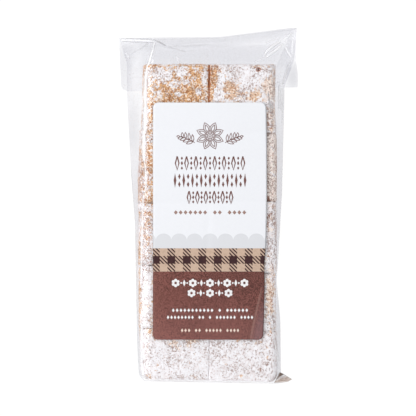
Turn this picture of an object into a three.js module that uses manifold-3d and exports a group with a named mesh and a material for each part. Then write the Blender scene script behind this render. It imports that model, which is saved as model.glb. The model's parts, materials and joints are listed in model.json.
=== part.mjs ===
// A clear bag of ten hand-cut marshmallows with a paper label on its front, lying on its back.
//
// Millimetres, +Z up. X runs across the bag and +Y runs towards its folded top. The bag is one closed
// solid: a front and a back sheet of film drawn over two columns of five pieces and sewn together along
// one rim. The rim is the crease at each side, the seam at the lower end and the fold across the top. The
// flap behind the fold is joined to the back. The label is a thin plate in front of the film.

import * as THREE from "three";
import { mergeVertices } from "three/addons/utils/BufferGeometryUtils.js";
import Module from "manifold-3d";

const { clamp, degToRad, lerp, smoothstep } = THREE.MathUtils;

// The ten pieces. Each column lists its pieces from the top down: how long each one is, how far its outer
// side is from x = 0, and how much higher than the plain thickness it stands.
const THICKNESS = 21;
const BLOCK_TOP = 79;
const PIECES = {
  left: {
    lengths: [32.5, 36.5, 31, 31.5, 26.5],
    edges: [32.6, 34.2, 35.2, 35.1, 34.6],
    lifts: [0, 0.35, 0.1, 0.3, -0.1],
  },
  right: {
    lengths: [32.5, 35.5, 36, 29, 26.5],
    edges: [33.4, 34.3, 34.2, 33.4, 35.3],
    lifts: [0.25, -0.1, 0.4, 0, 0.2],
  },
};
const PIECE_CROWN = 0.35;
const JOINT_X = 0.6;
const JOINT_HALF_WIDTH = 2.4;
const JOINT_DIP = 0.9;
const SIDE_NOTCH = 0.6;

// The film. Its edge rounds over the pieces, then runs out to the rim. Each rim list holds [y, distance
// from x = 0] from the lower end up, and the last points on the right's lower end make the corner's ear.
const EDGE_ROUND = 3;
const CORNER_ROUND = 5;
const LEFT_CREASE = [[-74, 35.4], [-40, 35.8], [0, 36.6], [25, 38.7], [66, 40.5], [80, 40.6], [92.7, 44.6]];
const RIGHT_CREASE = [
  [-80.8, 38.2], [-79.3, 41.8], [-77.8, 41], [-74, 36.6], [-48, 36.1], [-29, 34.1],
  [-18, 35.1], [16, 37], [68, 38.2], [82, 43.2], [98, 44.5],
];
const SEAM = [[-35, -78.8], [36, -80.8]];
const SEAM_STAND = 0.8;
const CREASE_HEIGHT = 9;
const FOLD_HEIGHT = 0.5;
const RIM_HEIGHTS = [[-81, 8], [-60, CREASE_HEIGHT], [60, 8.5], [80, 6.5], [92.7, FOLD_HEIGHT]];
const PANEL_RISE = 0.34;

// The fold across the top as [x, y], and the flap behind it.
const FOLD = [[-44.6, 92.7], [6, 93.2], [44.5, 98]];
const SLOPE_HOLLOW = 1.15;
const FLAP = { thickness: 0.8, lip: 0.4, left: -43.4, right: 45.1, lowLeft: 66, lowRight: 68, corner: 3 };

// The label, a little in front of the highest piece.
const LABEL = { left: -27.4, right: 29.4, low: -58, high: 60, corner: 2.6, thickness: 0.3 };
const LABEL_HEIGHT = 22.1;
const LABEL_FADE = 3;

// Where the sheets are sampled: around an edge, along and across one piece, and over a joint. A side's y is
// read at the crease, near SIDE_X.
const SIDE_X = 40;
const EDGE_TURNS = [25, 55, 90];
const LENGTH_SHARES = [0, 0.25, 0.5, 0.75, 1];
const WIDTH_SHARES = [1 / 3, 2 / 3];
const JOINT_STEPS = [-0.5, 0, 0.5];
const SLOPE_SHARES = [0.25, 0.5, 0.75];

const wasm = await Module();
wasm.setup();

// The value at a position in a list of [position, value] pairs, level beyond both ends.
function valueAt(pairs, position) {
  const next = pairs.findIndex(([place]) => place > position);
  if (next === 0) return pairs[0][1];
  if (next < 0) return pairs.at(-1)[1];
  const [[start, from], [end, to]] = [pairs[next - 1], pairs[next]];
  return lerp(from, to, (position - start) / (end - start));
}

// A column of pieces on a side, with the y of each joint from its upper end to its lower end.
function makeColumn(side, pieces) {
  const joints = [BLOCK_TOP];
  for (const length of pieces.lengths) joints.push(joints.at(-1) - length);
  return { side, joints, ...pieces };
}

const LEFT = makeColumn(-1, PIECES.left);
const RIGHT = makeColumn(1, PIECES.right);

// A value of each piece of a column, as [y of the piece's middle, value] pairs from the lower end up.
function byPiece(column, values) {
  const pairs = values.map((value, row) => [(column.joints[row] + column.joints[row + 1]) / 2, value]);
  return pairs.reverse();
}

// 0 on the left column and 1 on the right one, changing over the joint between them.
function rightShare(x) {
  return smoothstep(x, JOINT_X - JOINT_HALF_WIDTH, JOINT_X + JOINT_HALF_WIDTH);
}

// 1 at a joint, falling to 0 at its half width.
function dip(distance) {
  const share = clamp(distance / JOINT_HALF_WIDTH, -1, 1);
  return (1 - share ** 2) ** 2;
}

// How much of the dip over the nearest joint between two of a column's pieces there is at y.
function rowDip(column, y) {
  return Math.max(...column.joints.slice(1, -1).map((joint) => dip(y - joint)));
}

// How much a column's pieces stand above the plain thickness at y.
function pieceRise(column, y) {
  const jointsAbove = column.joints.filter((joint) => joint > y).length;
  const row = clamp(jointsAbove, 1, column.lengths.length);
  const [high, low] = [column.joints[row - 1], column.joints[row]];
  const fromMiddle = clamp((2 * y - high - low) / (high - low), -1, 1);
  return valueAt(byPiece(column, column.lifts), y) + PIECE_CROWN * (1 - fromMiddle ** 4);
}

// 1 under the label, where its paper holds the film level, and 0 away from it.
function underLabel(x, y) {
  const within = (value, low, high) =>
    smoothstep(value, low - LABEL_FADE, low) * (1 - smoothstep(value, high, high + LABEL_FADE));
  return within(x, LABEL.left, LABEL.right) * within(y, LABEL.low, LABEL.high);
}

// The height of the front film over the pieces.
function frontHeight(x, y) {
  const share = rightShare(x);
  const rise = lerp(pieceRise(LEFT, y), pieceRise(RIGHT, y), share);
  const joint = Math.max(dip(x - JOINT_X), lerp(rowDip(LEFT, y), rowDip(RIGHT, y), share));
  return THICKNESS + rise - JOINT_DIP * joint * (1 - underLabel(x, y));
}

// How far the lower corners are rounded in, seen from above, at y.
function cornerInset(x, y) {
  const reach = clamp(CORNER_ROUND - (y - valueAt(SEAM, x)), 0, CORNER_ROUND);
  return CORNER_ROUND - Math.sqrt(CORNER_ROUND ** 2 - reach ** 2);
}

// How far the outer side of a column is from x = 0 at y.
function blockEdge(column, y) {
  const side = valueAt(byPiece(column, column.edges), y);
  return side - SIDE_NOTCH * rowDip(column, y) - cornerInset(column.side * side, y);
}

// How far the crease on a column's side is from x = 0 at y. The ear fills out the right's lower corner.
function creaseEdge(column, y) {
  if (column === RIGHT) return valueAt(RIGHT_CREASE, y);
  const crease = valueAt(LEFT_CREASE, y);
  return crease - cornerInset(-crease, y);
}

// How much of its full height a sheet has reached once it has turned this far over an edge.
function turnedRise(turn, depth) {
  return 1 - (EDGE_ROUND / depth) * (1 - Math.sin(degToRad(turn)));
}

// A station on the rounded edge: its inset, and what each sheet has reached of its height there.
function edgeStation(turn) {
  return {
    inset: EDGE_ROUND * (1 - Math.cos(degToRad(turn))),
    front: turnedRise(turn, THICKNESS - CREASE_HEIGHT),
    back: turnedRise(turn, CREASE_HEIGHT),
  };
}

const EDGE_STATIONS = EDGE_TURNS.map(edgeStation);
const RIM = { front: 0, back: 0 };
const LEVEL = { front: 1, back: 1 };

// The stations of one side, from its crease in to the joint between the columns.
function sideStations(column) {
  const level = (y) => blockEdge(column, y) - EDGE_ROUND;
  const jointEdge = column.side * JOINT_X + JOINT_HALF_WIDTH;
  const places = [
    { ...RIM, out: (y) => creaseEdge(column, y) },
    { front: PANEL_RISE, back: PANEL_RISE, out: (y) => (creaseEdge(column, y) + blockEdge(column, y)) / 2 },
    ...EDGE_STATIONS.map((edge) => ({ ...edge, out: (y) => blockEdge(column, y) - edge.inset })),
    ...WIDTH_SHARES.map((share) => ({ ...LEVEL, out: (y) => lerp(level(y), jointEdge, share) })),
    { ...LEVEL, out: () => jointEdge },
  ];
  return places.map(({ out, ...rise }) => ({ ...rise, x: (y) => column.side * out(y), side: column.side }));
}

// The stations across the bag, from the left crease to the right one.
function widthStations() {
  const jointXs = JOINT_STEPS.map((step) => JOINT_X + step * JOINT_HALF_WIDTH);
  const joint = jointXs.map((x) => ({ ...LEVEL, x: () => x, side: 0 }));
  return [...sideStations(LEFT), ...joint, ...sideStations(RIGHT).reverse()];
}

// A y that is one value on the left column and another on the right.
function byColumn(left, right) {
  return (x) => lerp(left, right, rightShare(x));
}

// The stations over the pieces, from the lower end up, each on its own y on the two columns.
function pieceStations() {
  const stations = [];
  const rows = LEFT.lengths.length;
  for (let row = rows; row > 0; row -= 1) {
    const lowTrim = row === rows ? EDGE_ROUND : JOINT_HALF_WIDTH;
    const highTrim = row === 1 ? EDGE_ROUND : JOINT_HALF_WIDTH;
    const at = ({ joints }, share) => lerp(joints[row] + lowTrim, joints[row - 1] - highTrim, share);
    for (const share of LENGTH_SHARES) stations.push(byColumn(at(LEFT, share), at(RIGHT, share)));
    if (row === 1) break;
    for (const step of JOINT_STEPS) {
      const shift = step * JOINT_HALF_WIDTH;
      stations.push(byColumn(LEFT.joints[row - 1] + shift, RIGHT.joints[row - 1] + shift));
    }
  }
  return stations.map((y) => ({ ...LEVEL, y }));
}

// The stations along the bag, from the seam at its lower end to the fold across its top.
function lengthStations() {
  const seamY = (x) => valueAt(SEAM, x);
  const foldY = (x) => valueAt(FOLD, x);
  const seam = { ...RIM, y: seamY };
  const fold = { ...RIM, y: foldY };
  const turned = EDGE_STATIONS.slice(0, -1);
  const lowerEdge = turned.map((edge) => ({ ...edge, y: (x) => seamY(x) + SEAM_STAND + edge.inset }));
  const upperEdge = turned.map((edge) => ({ ...edge, back: 1, y: () => BLOCK_TOP - edge.inset })).reverse();
  const slope = SLOPE_SHARES.map((share) => ({
    front: upperEdge.at(-1).front * (1 - share) ** SLOPE_HOLLOW,
    back: 1,
    y: (x) => lerp(BLOCK_TOP, foldY(x), share),
  }));
  return [seam, ...lowerEdge, ...pieceStations(), ...upperEdge, ...slope, fold];
}

// The front and back sheets over the same stations, sewn along the rim.
function envelopeGeometry() {
  const across = widthStations();
  const along = lengthStations();
  const points = { front: [], back: [] };
  for (const row of along) {
    for (const column of across) {
      const x = column.x(row.y(column.side * SIDE_X));
      const y = row.y(x);
      const rim = valueAt(RIM_HEIGHTS, y);
      points.front.push(x, y, lerp(rim, frontHeight(x, y), column.front * row.front));
      points.back.push(x, y, lerp(rim, 0, column.back * row.back));
    }
  }
  const backStart = across.length * along.length;
  const faces = [];
  for (let j = 0; j < along.length - 1; j += 1) {
    for (let i = 0; i < across.length - 1; i += 1) {
      const a = j * across.length + i;
      const [b, c, d] = [a + 1, a + 1 + across.length, a + across.length];
      for (const [p, q, r] of [[a, b, c], [a, c, d]]) {
        faces.push(p, q, r);
        faces.push(backStart + p, backStart + r, backStart + q);
      }
    }
  }
  const geometry = new THREE.BufferGeometry();
  geometry.setAttribute("position", new THREE.Float32BufferAttribute([...points.front, ...points.back], 3));
  geometry.setIndex(faces);
  return geometry;
}

// The flap of folded film behind the bag's top.
function flapGeometry() {
  const { left, right, lowLeft, lowRight, corner, lip, thickness } = FLAP;
  const outline = new THREE.Shape();
  outline.moveTo(left, lowLeft + corner);
  outline.quadraticCurveTo(left, lowLeft, left + corner, lowLeft);
  outline.lineTo(right, lowRight);
  for (const [x, y] of FOLD.toReversed()) outline.lineTo(x, y + lip);
  outline.closePath();
  return new THREE.ExtrudeGeometry(outline, { depth: thickness, bevelEnabled: false, curveSegments: 6 });
}

// A closed geometry as a solid that can be joined to another.
function toSolid(geometry) {
  geometry.deleteAttribute("normal");
  geometry.deleteAttribute("uv");
  const merged = mergeVertices(geometry);
  const mesh = new wasm.Mesh({
    numProp: 3,
    vertProperties: merged.attributes.position.array,
    triVerts: new Uint32Array(merged.index.array),
  });
  return new wasm.Manifold(mesh);
}

function toGeometry(solid) {
  const { vertProperties, triVerts } = solid.getMesh();
  const geometry = new THREE.BufferGeometry();
  geometry.setAttribute("position", new THREE.BufferAttribute(vertProperties, 3));
  geometry.setIndex(new THREE.BufferAttribute(triVerts, 1));
  geometry.computeVertexNormals();
  return geometry;
}

function makeBag() {
  const solid = toSolid(envelopeGeometry()).add(toSolid(flapGeometry()));
  const material = new THREE.MeshStandardMaterial({ color: 0xdccbbf, roughness: 0.3, metalness: 0 });
  const bag = new THREE.Mesh(toGeometry(solid), material);
  bag.name = "bag";
  return bag;
}

function makeLabel() {
  const { left, right, low, high, corner, thickness } = LABEL;
  const outline = new THREE.Shape();
  outline.moveTo(left + corner, low);
  outline.absarc(right - corner, low + corner, corner, -Math.PI / 2, 0);
  outline.absarc(right - corner, high - corner, corner, 0, Math.PI / 2);
  outline.absarc(left + corner, high - corner, corner, Math.PI / 2, Math.PI);
  outline.absarc(left + corner, low + corner, corner, Math.PI, 1.5 * Math.PI);
  const geometry = new THREE.ExtrudeGeometry(outline, {
    depth: thickness,
    bevelEnabled: false,
    curveSegments: 8,
  });
  const material = new THREE.MeshStandardMaterial({ color: 0xf3f4f7, roughness: 0.5, metalness: 0 });
  const label = new THREE.Mesh(geometry, material);
  label.name = "label";
  label.position.z = LABEL_HEIGHT;
  return label;
}

const group = new THREE.Group();
group.add(makeBag(), makeLabel());

// The origin is below the middle of the whole, on the surface that it lies on.
const box = new THREE.Box3().setFromObject(group);
const middle = box.getCenter(new THREE.Vector3());
group.position.set(-middle.x, -middle.y, -box.min.z);

export default group;
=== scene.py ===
"""A clear bag of ten marshmallows with a paper label, lying on its back on a pale floor.

Lengths in the tables are millimetres in the pack's own plan: x across the bag from the middle of the
block, y towards the folded top, z up from the floor. to_scene() turns them into metres in the frame.
"""

import json
import math

import bpy
import numpy as np
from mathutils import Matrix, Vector, noise
from mathutils.bvhtree import BVHTree

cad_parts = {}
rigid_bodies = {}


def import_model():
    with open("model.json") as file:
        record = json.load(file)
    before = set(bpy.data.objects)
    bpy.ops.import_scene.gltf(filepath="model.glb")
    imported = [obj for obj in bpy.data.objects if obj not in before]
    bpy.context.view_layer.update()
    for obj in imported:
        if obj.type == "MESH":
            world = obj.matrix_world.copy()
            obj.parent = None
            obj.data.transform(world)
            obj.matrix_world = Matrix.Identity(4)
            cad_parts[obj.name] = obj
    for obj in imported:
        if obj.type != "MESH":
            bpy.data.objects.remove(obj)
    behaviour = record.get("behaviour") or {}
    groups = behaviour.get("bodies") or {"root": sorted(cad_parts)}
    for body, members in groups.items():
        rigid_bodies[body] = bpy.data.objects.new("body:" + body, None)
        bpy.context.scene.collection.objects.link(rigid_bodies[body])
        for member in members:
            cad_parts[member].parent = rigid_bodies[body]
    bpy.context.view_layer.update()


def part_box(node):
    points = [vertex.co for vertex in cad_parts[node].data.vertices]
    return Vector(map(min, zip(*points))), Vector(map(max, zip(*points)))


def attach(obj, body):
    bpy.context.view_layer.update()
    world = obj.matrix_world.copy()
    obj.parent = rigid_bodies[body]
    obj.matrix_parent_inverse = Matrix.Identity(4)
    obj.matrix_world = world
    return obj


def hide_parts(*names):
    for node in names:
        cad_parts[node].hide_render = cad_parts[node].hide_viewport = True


bl_info = {
    "name": "Clear Bag of Marshmallows",
    "version": (1, 0, 0),
    "blender": (4, 5, 0),
    "location": "View3D > Sidebar > Sweets",
    "description": "Makes a film bag of sugared marshmallows with a printed label",
    "category": "Object",
}

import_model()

MM = 0.001

# The block of ten pieces, each column from the top down: the length of each piece, how far its outer side
# is from x = 0 at its upper and its lower end, how much it stands above the plain thickness, how bare of
# white sugar it is, what its upper end has beyond that, and how dull its crust is, from orange (0) to grey
# brown (1). The slump is the radius to which the film has pressed the outer edge, and film_turn is the film's
# own radius there as a share of the shoulder radius.
THICKNESS = 21.3
BLOCK_TOP = 79.0
JOINT_X = 0.6
END_CORNER = 4.5
LEFT = {
    "side": -1,
    "lengths": (32.5, 36.5, 31.0, 31.5, 25.9),
    "edges": ((32.1, 33.3), (34.0, 34.9), (34.6, 34.9), (34.8, 34.3), (34.1, 33.5)),
    "lifts": (0.0, 0.18, 0.05, 0.15, 0.0),
    "slump": 5.0,
    "film_turn": 1.0,
    "bare": (0.50, 0.60, 0.42, 0.24, 0.14),
    "end_bare": (0.0, 0.0, 0.0, 0.0, 0.26),
    "dull": (0.0, 0.1, 0.1, 0.1, 0.3),
}
RIGHT = {
    "side": 1,
    "lengths": (34.3, 33.7, 36.0, 29.0, 25.05),
    "edges": ((33.3, 33.7), (34.1, 34.4), (34.0, 34.3), (33.7, 33.9), (34.1, 34.6)),
    "lifts": (0.12, -0.05, 0.2, 0.0, 0.0),
    "slump": 2.4,
    "film_turn": 0.5,
    "bare": (0.34, 0.8, 0.36, 0.36, 0.14),
    "end_bare": (0.0, 0.0, 0.0, 0.0, 0.26),
    "dull": (0.3, 0.95, 0.85, 0.6, 0.3),
}
COLUMNS = (LEFT, RIGHT)

# By row, from the top down: the gap between the columns, how dark the sugar beside it is, as cinnamon on the
# cut sides and as painted shade in the seam, and how round the cut edges of a piece are as a share of the
# corner radius.
JOINT_GAPS = (0.32, 0.3, 0.24, 0.12, 0.0)
JOINT_SHADES = (0.9, 0.8, 0.5, 0.2, 0.0)
CORNER_SHARES = (1.0, 0.8, 0.6, 0.45, 0.4)

# Patches of the coating as (x, y, half width, half height, change), for how bare of sugar, how dark and how
# dull it is there. The dark patches beside the label's right edge and along the right column's outer side,
# from y = -40 up, are painted shade, as is the first dull patch; the other dark patches are darker crust.
PATCHES = {
    "bare": [
        (-21, 74.5, 4.5, 3.6, -0.45), (-13, 75.5, 3.2, 3, -0.4), (-17, 73.3, 2, 2.4, 0.5),
        (-11, 64, 14, 6, 0.30), (-4.5, 73.5, 5.5, 5.5, 0.16), (-15, 64.2, 2.4, 1.8, -0.6),
        (-5, 65.2, 2, 2, -0.65), (-27.5, 77, 6.5, 2.8, 0.25), (-28.5, 66, 4, 9, 0.1),
        (2.2, 74, 3.4, 6.5, 0.7), (1.4, 65, 2, 8, 0.5), (5.2, 65, 3.6, 5, -0.3), (10, 68.2, 2.6, 3.6, 0.7),
        (20, 73, 8, 5, -0.3), (24, 63.5, 3.6, 2.6, 0.65), (29.5, 69, 2.4, 5, 0.35), (32.4, 70, 2.6, 11, 0.3),
        (31.5, 55, 5, 12, 0.3), (-17, -61, 4.6, 3.4, 0.5), (-7.5, -59.5, 4.6, 3.6, 0.55),
        (29.7, -67, 1, 1, 0.8), (-34.8, -20, 1.6, 30, 0.2), (-34.6, -42, 1.8, 20, 0.25),
        (-1.2, 72.5, 1.7, 7, -0.45), (-30, 46, 8, 9, -0.05), (-30, 24, 3, 6, -0.1), (30.6, -40, 2, 12, 0.35),
    ],
    "dark": [
        (25, 76.4, 1.2, 1.1, 3), (34.3, 28, 0.9, 17.5, 0.55), (29.9, 27, 0.8, 17, 0.4), (30, 12.4, 1, 1.8, 1),
        (32.2, 11.2, 4, 1.1, 0.55), (29.8, 52, 0.9, 8, 0.5), (31.4, 54.6, 0.8, 3.4, 0.45),
        (31.8, 48.6, 3.8, 0.8, 0.5), (32, 44.6, 4.2, 0.8, 0.5), (31, 47, 0.8, 1.6, 0.4),
        (29.9, 1.2, 1.1, 4.6, 0.6), (31.2, 4.3, 1.7, 0.9, 0.6), (32.4, -0.2, 0.9, 2.2, 0.55),
        (32.2, 8.4, 0.7, 2.2, 0.55), (30.6, 7.4, 1.2, 1.1, 0.5), (34, -8, 1, 14, 0.35),
        (29.9, -10, 0.9, 8, 0.35), (31.7, -74.4, 0.8, 0.8, 0.6), (32.8, -73.7, 1, 0.6, 0.5),
        (-35, 22, 1.4, 16, 0.3), (-33.4, 25, 2, 17, 0.3), (-29.2, 27, 2.4, 13, 0.25), (-31, -2, 4, 30, 0.3),
        (32.3, -28, 0.8, 12, 0.5), (31.6, -39, 0.8, 4, 0.55), (33.4, 0, 1.2, 8, 0.25),
        (31.5, -14, 2.6, 7, 0.3),
    ],
    "dull": [
        (31.5, 60, 6, 22, 0.6), (-34, 22, 4, 18, 0.3), (-12, -60, 13, 7, 0.4), (32, -74, 5, 4, 0.9),
        (2.5, 70, 3, 12, -0.3),
    ],
}

# Patches of painted shade on the film, where it dims what is behind it more, and where the change is negative
# patches of painted light, where it dims it less, in the same form.
PAINTED_FILM_SHADE = [
    (42.4, 73, 4, 8, 0.3), (0, 93.5, 60, 5, -0.12), (0, 84, 70, 9, 0.09), (-43, 75, 7, 15, 0.14),
    (-36.5, 76, 5, 13, -0.06), (-38, 50, 4.6, 17, 0.2), (-36, -32, 4, 62, -0.2), (-32.4, 4, 3, 34, 0.2),
    (0, -80, 70, 4.5, -0.7), (40, 30, 6, 60, -0.07),
]

# How far the side of a piece lies inside its edge, how far the film bulges over a piece, how wide to each
# side and how deep it dips at a joint, the share of that along the middle of the block by y, and how far the
# sides of the block draw in at a joint.
SIDE_SLACK = 0.35
CROWN = 0.35
JOINT_HALF_WIDTH = 2.4
JOINT_DIP = 0.18
LOW_JOINT_FADE = [[-80, 0.25], [-60, 0.25], [-50, 1.0], [80, 1.0]]
SIDE_NOTCH = 0.2

# The film's rim: [y, distance from x = 0] of the side creases, [x, y] of the seam and the fold, and how high
# the crease and the folded edge lie. For the flap behind it: [x, y] of its mouth, [y, distance from x = 0]
# of its sides, and the space between its layers.
LEFT_CREASE = [
    [-80, 34.3], [-74, 34.7], [-60, 35.4], [-40, 35.8], [0, 36.5], [25, 38.4], [66, 40.6], [80, 40.6],
    [92.7, 44.6],
]
RIGHT_CREASE = [
    [-80.8, 37.2], [-74, 36.4], [-48, 36.1], [-29, 34.3], [-18, 35.1], [16, 37], [68, 38.2], [82, 43.2],
    [98, 44.5],
]
SEAM = [[-35, -79.05], [36, -80.35]]
LOW_END = -80.8
FOLD = [[-44.6, 92.7], [6, 93.2], [44.5, 98]]
CREASE_HEIGHTS = [[-81, 8], [-60, 9], [60, 8.5], [80, 6]]
FOLD_HEIGHTS = [[-44.6, 1.0], [-26, 3.4], [10, 2.4], [30, 2.6], [44.5, 4.2]]
MOUTH = [[-43.4, 66], [45.1, 68]]
FLAP_LEFT = [[66, 43.4], [92.7, 44.6]]
FLAP_RIGHT = [[68, 44.9], [74, 45.1], [82, 44.0], [98, 44.5]]
LAYER = 0.32

# The edges of the label, how far it lies above the film, over what distance the film settles beside it, and
# [y, x] of its right edge.
LABEL = {"left": -27.4, "right": 29.4, "low": -58.0, "high": 60.0, "corner": 2.6}
LABEL_LIFT = 0.42
LABEL_X = (LABEL["left"] + LABEL["right"]) / 2
LABEL_EASE = 3
LABEL_RIGHT = [
    [-58, 27.5], [-48, 27.8], [-31, 28.2], [-19, 28.1], [-10, 29.0], [16, 29.4], [40, 29.3], [60, 29.0],
]

# Soft creases in the film as ([x, y] points, rise, half width). A negative rise is a valley.
CREASES = [
    ([(-29, 92.5), (-25, 90.8), (-21.5, 88.6), (-19, 87.8), (-11.5, 86.5)], -0.5, 1.3),
    ([(-19, 87.8), (-4, 90.2), (13.5, 91.2)], 0.35, 1.6),
    ([(43, 96), (36.5, 89.3), (28.5, 83)], 0.35, 2.2),
    ([(36.6, 66), (36.4, 40), (35.6, 22)], 0.4, 1.0),
]

# The strips of painted highlight and painted shade along hard creases: how far their sides (-1, 1) and their
# middle (0) lie above the film, how much more each strip has than the one before, how far a side may be above
# or below the middle, how thick they are, how far apart their stations are, and over what length and share of
# its own a strip fades at an end.
PAINTED_STRIP_LIFT = {-1: 0.03, 0: 0.10, 1: 0.03}
STRIP_LIFT = 0.004
STRIP_SLOPE = 0.45
STRIP_DEPTH = 0.02
STRIP_STEP = 0.45
FADE, FADE_SHARE = 1.5, 0.12

# The painted lines on the film, along its hard creases, its left shoulder and its lower end, as ([x, y]
# points, widths along them, strength, tone). The tone is 0 for painted shade and 1 for a painted highlight,
# and what it has above 1 glows as painted light, for lines on steep film.
PAINTED_LIGHT_LINES = [
    ([(-44, 91.6), (-36, 91.3), (-26.6, 90.7)], (1.6, 2.6, 2.5, 1.6), 1, 1),
    ([(-26.5, 90.8), (-27.6, 86), (-29.2, 80), (-30.6, 76), (-31, 70), (-31.1, 62), (-30.8, 54), (-31.3, 46),
      (-32, 38), (-31.8, 30)],
     (1.3, 1.9, 2.5, 3.2, 3.8, 4, 3.8, 4.4, 3.6, 1.3), 0.82, 1),
    ([(-33, -50), (-32.9, -62), (-32.7, -73), (-31.6, -77.4)], (1.5, 4.2, 4.6, 2.6), 0.55, 1),
    ([(-31.5, -77.9), (0, -78.5), (31, -79.1)], (1.2, 1.6, 1.2), 0.5, 1.17),
    ([(-27, 91.5), (-24.3, 90.4), (-21.7, 88.8), (-20.6, 88.2)], (0.7, 1.2, 0.8), 0.34, 0),
    ([(-21, 88.3), (-17.5, 87.1), (-10.5, 85.2)], (0.9, 1.2), 0.09, 0),
    ([(-20.5, 88.2), (-13, 88), (-4.3, 88.8), (1, 89.2)], (1, 1.6, 1), 0.07, 0),
    ([(-29, 90.3), (-33, 87.3), (-38.5, 84.5)], (0.8, 1.6, 1), 0.08, 0),
    ([(28, 83.6), (29.8, 86.3), (33.5, 89), (36.6, 90.9)], (1.7, 2, 1.5), 0.85, 1),
    ([(28.5, 82.3), (31, 84.3), (34.5, 86.8), (37.8, 89.6)], (1.7, 2.1, 1.6), 0.8, 1),
    ([(37.4, 90.6), (39.9, 93), (42.4, 95.2)], (1.6, 2.4, 1.4), 0.5, 1.15),
    ([(28.7, 89.5), (32.5, 91.2), (36.4, 92.6)], (1.3, 1.5), 0.3, 1),
    ([(38.3, 88), (39.6, 85.6), (40.6, 84), (41.8, 82.9)], (1.5, 1.9, 1.9, 1.6), 0.62, 1.25),
    ([(42.5, 94.4), (42.1, 89.3), (41.8, 84.4)], (1.3, 1.6), 0.5, 1.3),
    ([(41.4, 81.6), (38.6, 73.9), (36.9, 68)], (1, 1.6, 1), 0.45, 1),
    ([(23, 80.2), (28, 82.3)], (1.1, 1), 0.45, 1),
    ([(-15.6, 83), (-14.6, 80.3)], (1.1, 1), 0.35, 1),
    ([(-41.2, 85.6), (-40.4, 83.6), (-39.5, 81.8)], (1.2, 1.5, 0.9), 0.25, 1),
    ([(34.4, 70.5), (36.4, 69.2), (38.2, 70.3)], (0.9, 0.9), 0.4, 1),
    ([(35.6, 69.5), (35.3, 63), (35.5, 56)], (1.1, 1.5, 0.9), 0.5, 1),
    ([(36.7, 68.5), (36.2, 62), (36.4, 55)], (0.7, 1.1, 0.7), 0.12, 0),
    ([(37.5, 68), (37.2, 60), (37, 50)], (0.8, 1.1, 0.8), 0.4, 1),
    ([(-31.7, 31), (-30.5, 22), (-31.6, 14)], (1.3, 1.8, 1.2), 0.55, 1),
    ([(-32.2, 15), (-32.6, 2), (-33, -14), (-33.4, -30)], (1.2, 2.2, 2.2, 1.8, 1.2), 0.5, 1),
    ([(30.2, -41), (32, -52), (34.2, -66), (35, -73)], (0.6, 1.3, 1.3, 0.6), 0.4, 1),
    ([(31, -40), (32.9, -52), (35, -65), (35.6, -70)], (0.5, 0.7, 0.5), 0.12, 0),
    ([(-0.4, -59), (-0.4, -70), (-0.5, -79)], (1.3, 1.5, 1.3), 0.12, 1),
    ([(29.9, 66), (30.6, 60), (31.5, 54)], (0.7, 1, 0.7), 0.4, 0),
    ([(31, 60), (32.4, 56.5), (31.8, 52.5)], (0.6, 0.8, 0.6), 0.3, 0),
]

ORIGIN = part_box("bag")[0] - Vector((FOLD[0][0], LOW_END, 0)) * MM


def to_scene(points):
    """Points of the pack's plan, in millimetres, as points of the frame in metres."""
    return np.asarray(points, float) * MM + np.array(ORIGIN)


def value_at(pairs, places, soft=0.0):
    """The value at each place along a list of [place, value] pairs, with its bends eased over soft."""
    at, values = zip(*pairs)
    shifts = np.linspace(-soft, soft, 7) if soft else (0.0,)
    return np.mean([np.interp(np.asarray(places) + shift, at, values) for shift in shifts], axis=0)


def ease(values, low, high):
    share = np.clip((values - low) / (high - low), 0, 1)
    return share * share * (3 - 2 * share)


def joints_of(column):
    """The y of each joint of a column, with both ends, from the top down."""
    return BLOCK_TOP - np.concatenate([[0], np.cumsum(column["lengths"])])


def lifts_of(column):
    """How much each piece stands above the plain thickness, as [y of its middle, value] pairs."""
    joints = joints_of(column)
    middles = (joints[:-1] + joints[1:]) / 2
    return [list(pair) for pair in zip(middles, column["lifts"])][::-1]


def dip(distance):
    return (1 - np.clip(distance / JOINT_HALF_WIDTH, -1, 1) ** 2) ** 2


def row_dip(column, y):
    return np.max([dip(y - joint) for joint in joints_of(column)[1:-1]], axis=0)


def piece_rise(column, y):
    joints = joints_of(column)
    row = np.clip(np.sum(joints[:, None, None] > y, axis=0), 1, len(joints) - 1)
    high, low = joints[row - 1], joints[row]
    from_middle = np.clip((2 * y - high - low) / (high - low), -1, 1)
    return value_at(lifts_of(column), y, 3) + CROWN * (1 - from_middle**4)


def under_label(x, y):
    """1 where the label covers the film, easing to 0 beside it."""
    inside = lambda at, low, high: ease(at, low - LABEL_EASE, low) * (1 - ease(at, high, high + LABEL_EASE))
    return inside(x, LABEL["left"], LABEL["right"]) * inside(y, LABEL["low"], LABEL["high"])


def film_height(x, y):
    """The height of the front film over the pieces."""
    share = ease(x, JOINT_X - JOINT_HALF_WIDTH, JOINT_X + JOINT_HALF_WIDTH)
    rise = piece_rise(LEFT, y) * (1 - share) + piece_rise(RIGHT, y) * share
    rows = row_dip(LEFT, y) * (1 - share) + row_dip(RIGHT, y) * share
    joint = np.maximum(dip(x - JOINT_X) * value_at(LOW_JOINT_FADE, y), rows)
    return THICKNESS + rise - JOINT_DIP * joint * (1 - under_label(x, y))


def block_edge(column, y):
    """How far a column's outer side is from x = 0 at y."""
    joints = joints_of(column)
    pairs = []
    for high, low, (upper, lower) in zip(joints, joints[1:], column["edges"]):
        pairs += [[high - 1, upper], [low + 1, lower]]
    return value_at(pairs[::-1], y, 1.5) - SIDE_NOTCH * row_dip(column, y)


def spread_noise(points, size, seed):
    """Smooth noise from about -1 to 1 at each point, for features of a size in millimetres."""
    offset = Vector((seed * 7.3, seed * 3.1, seed * 5.7))
    flat = points.reshape(-1, points.shape[-1])
    values = [noise.noise(Vector((p[0] / size, p[1] / size, 0)) + offset) for p in flat]
    return np.array(values).reshape(points.shape[:-1])


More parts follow.
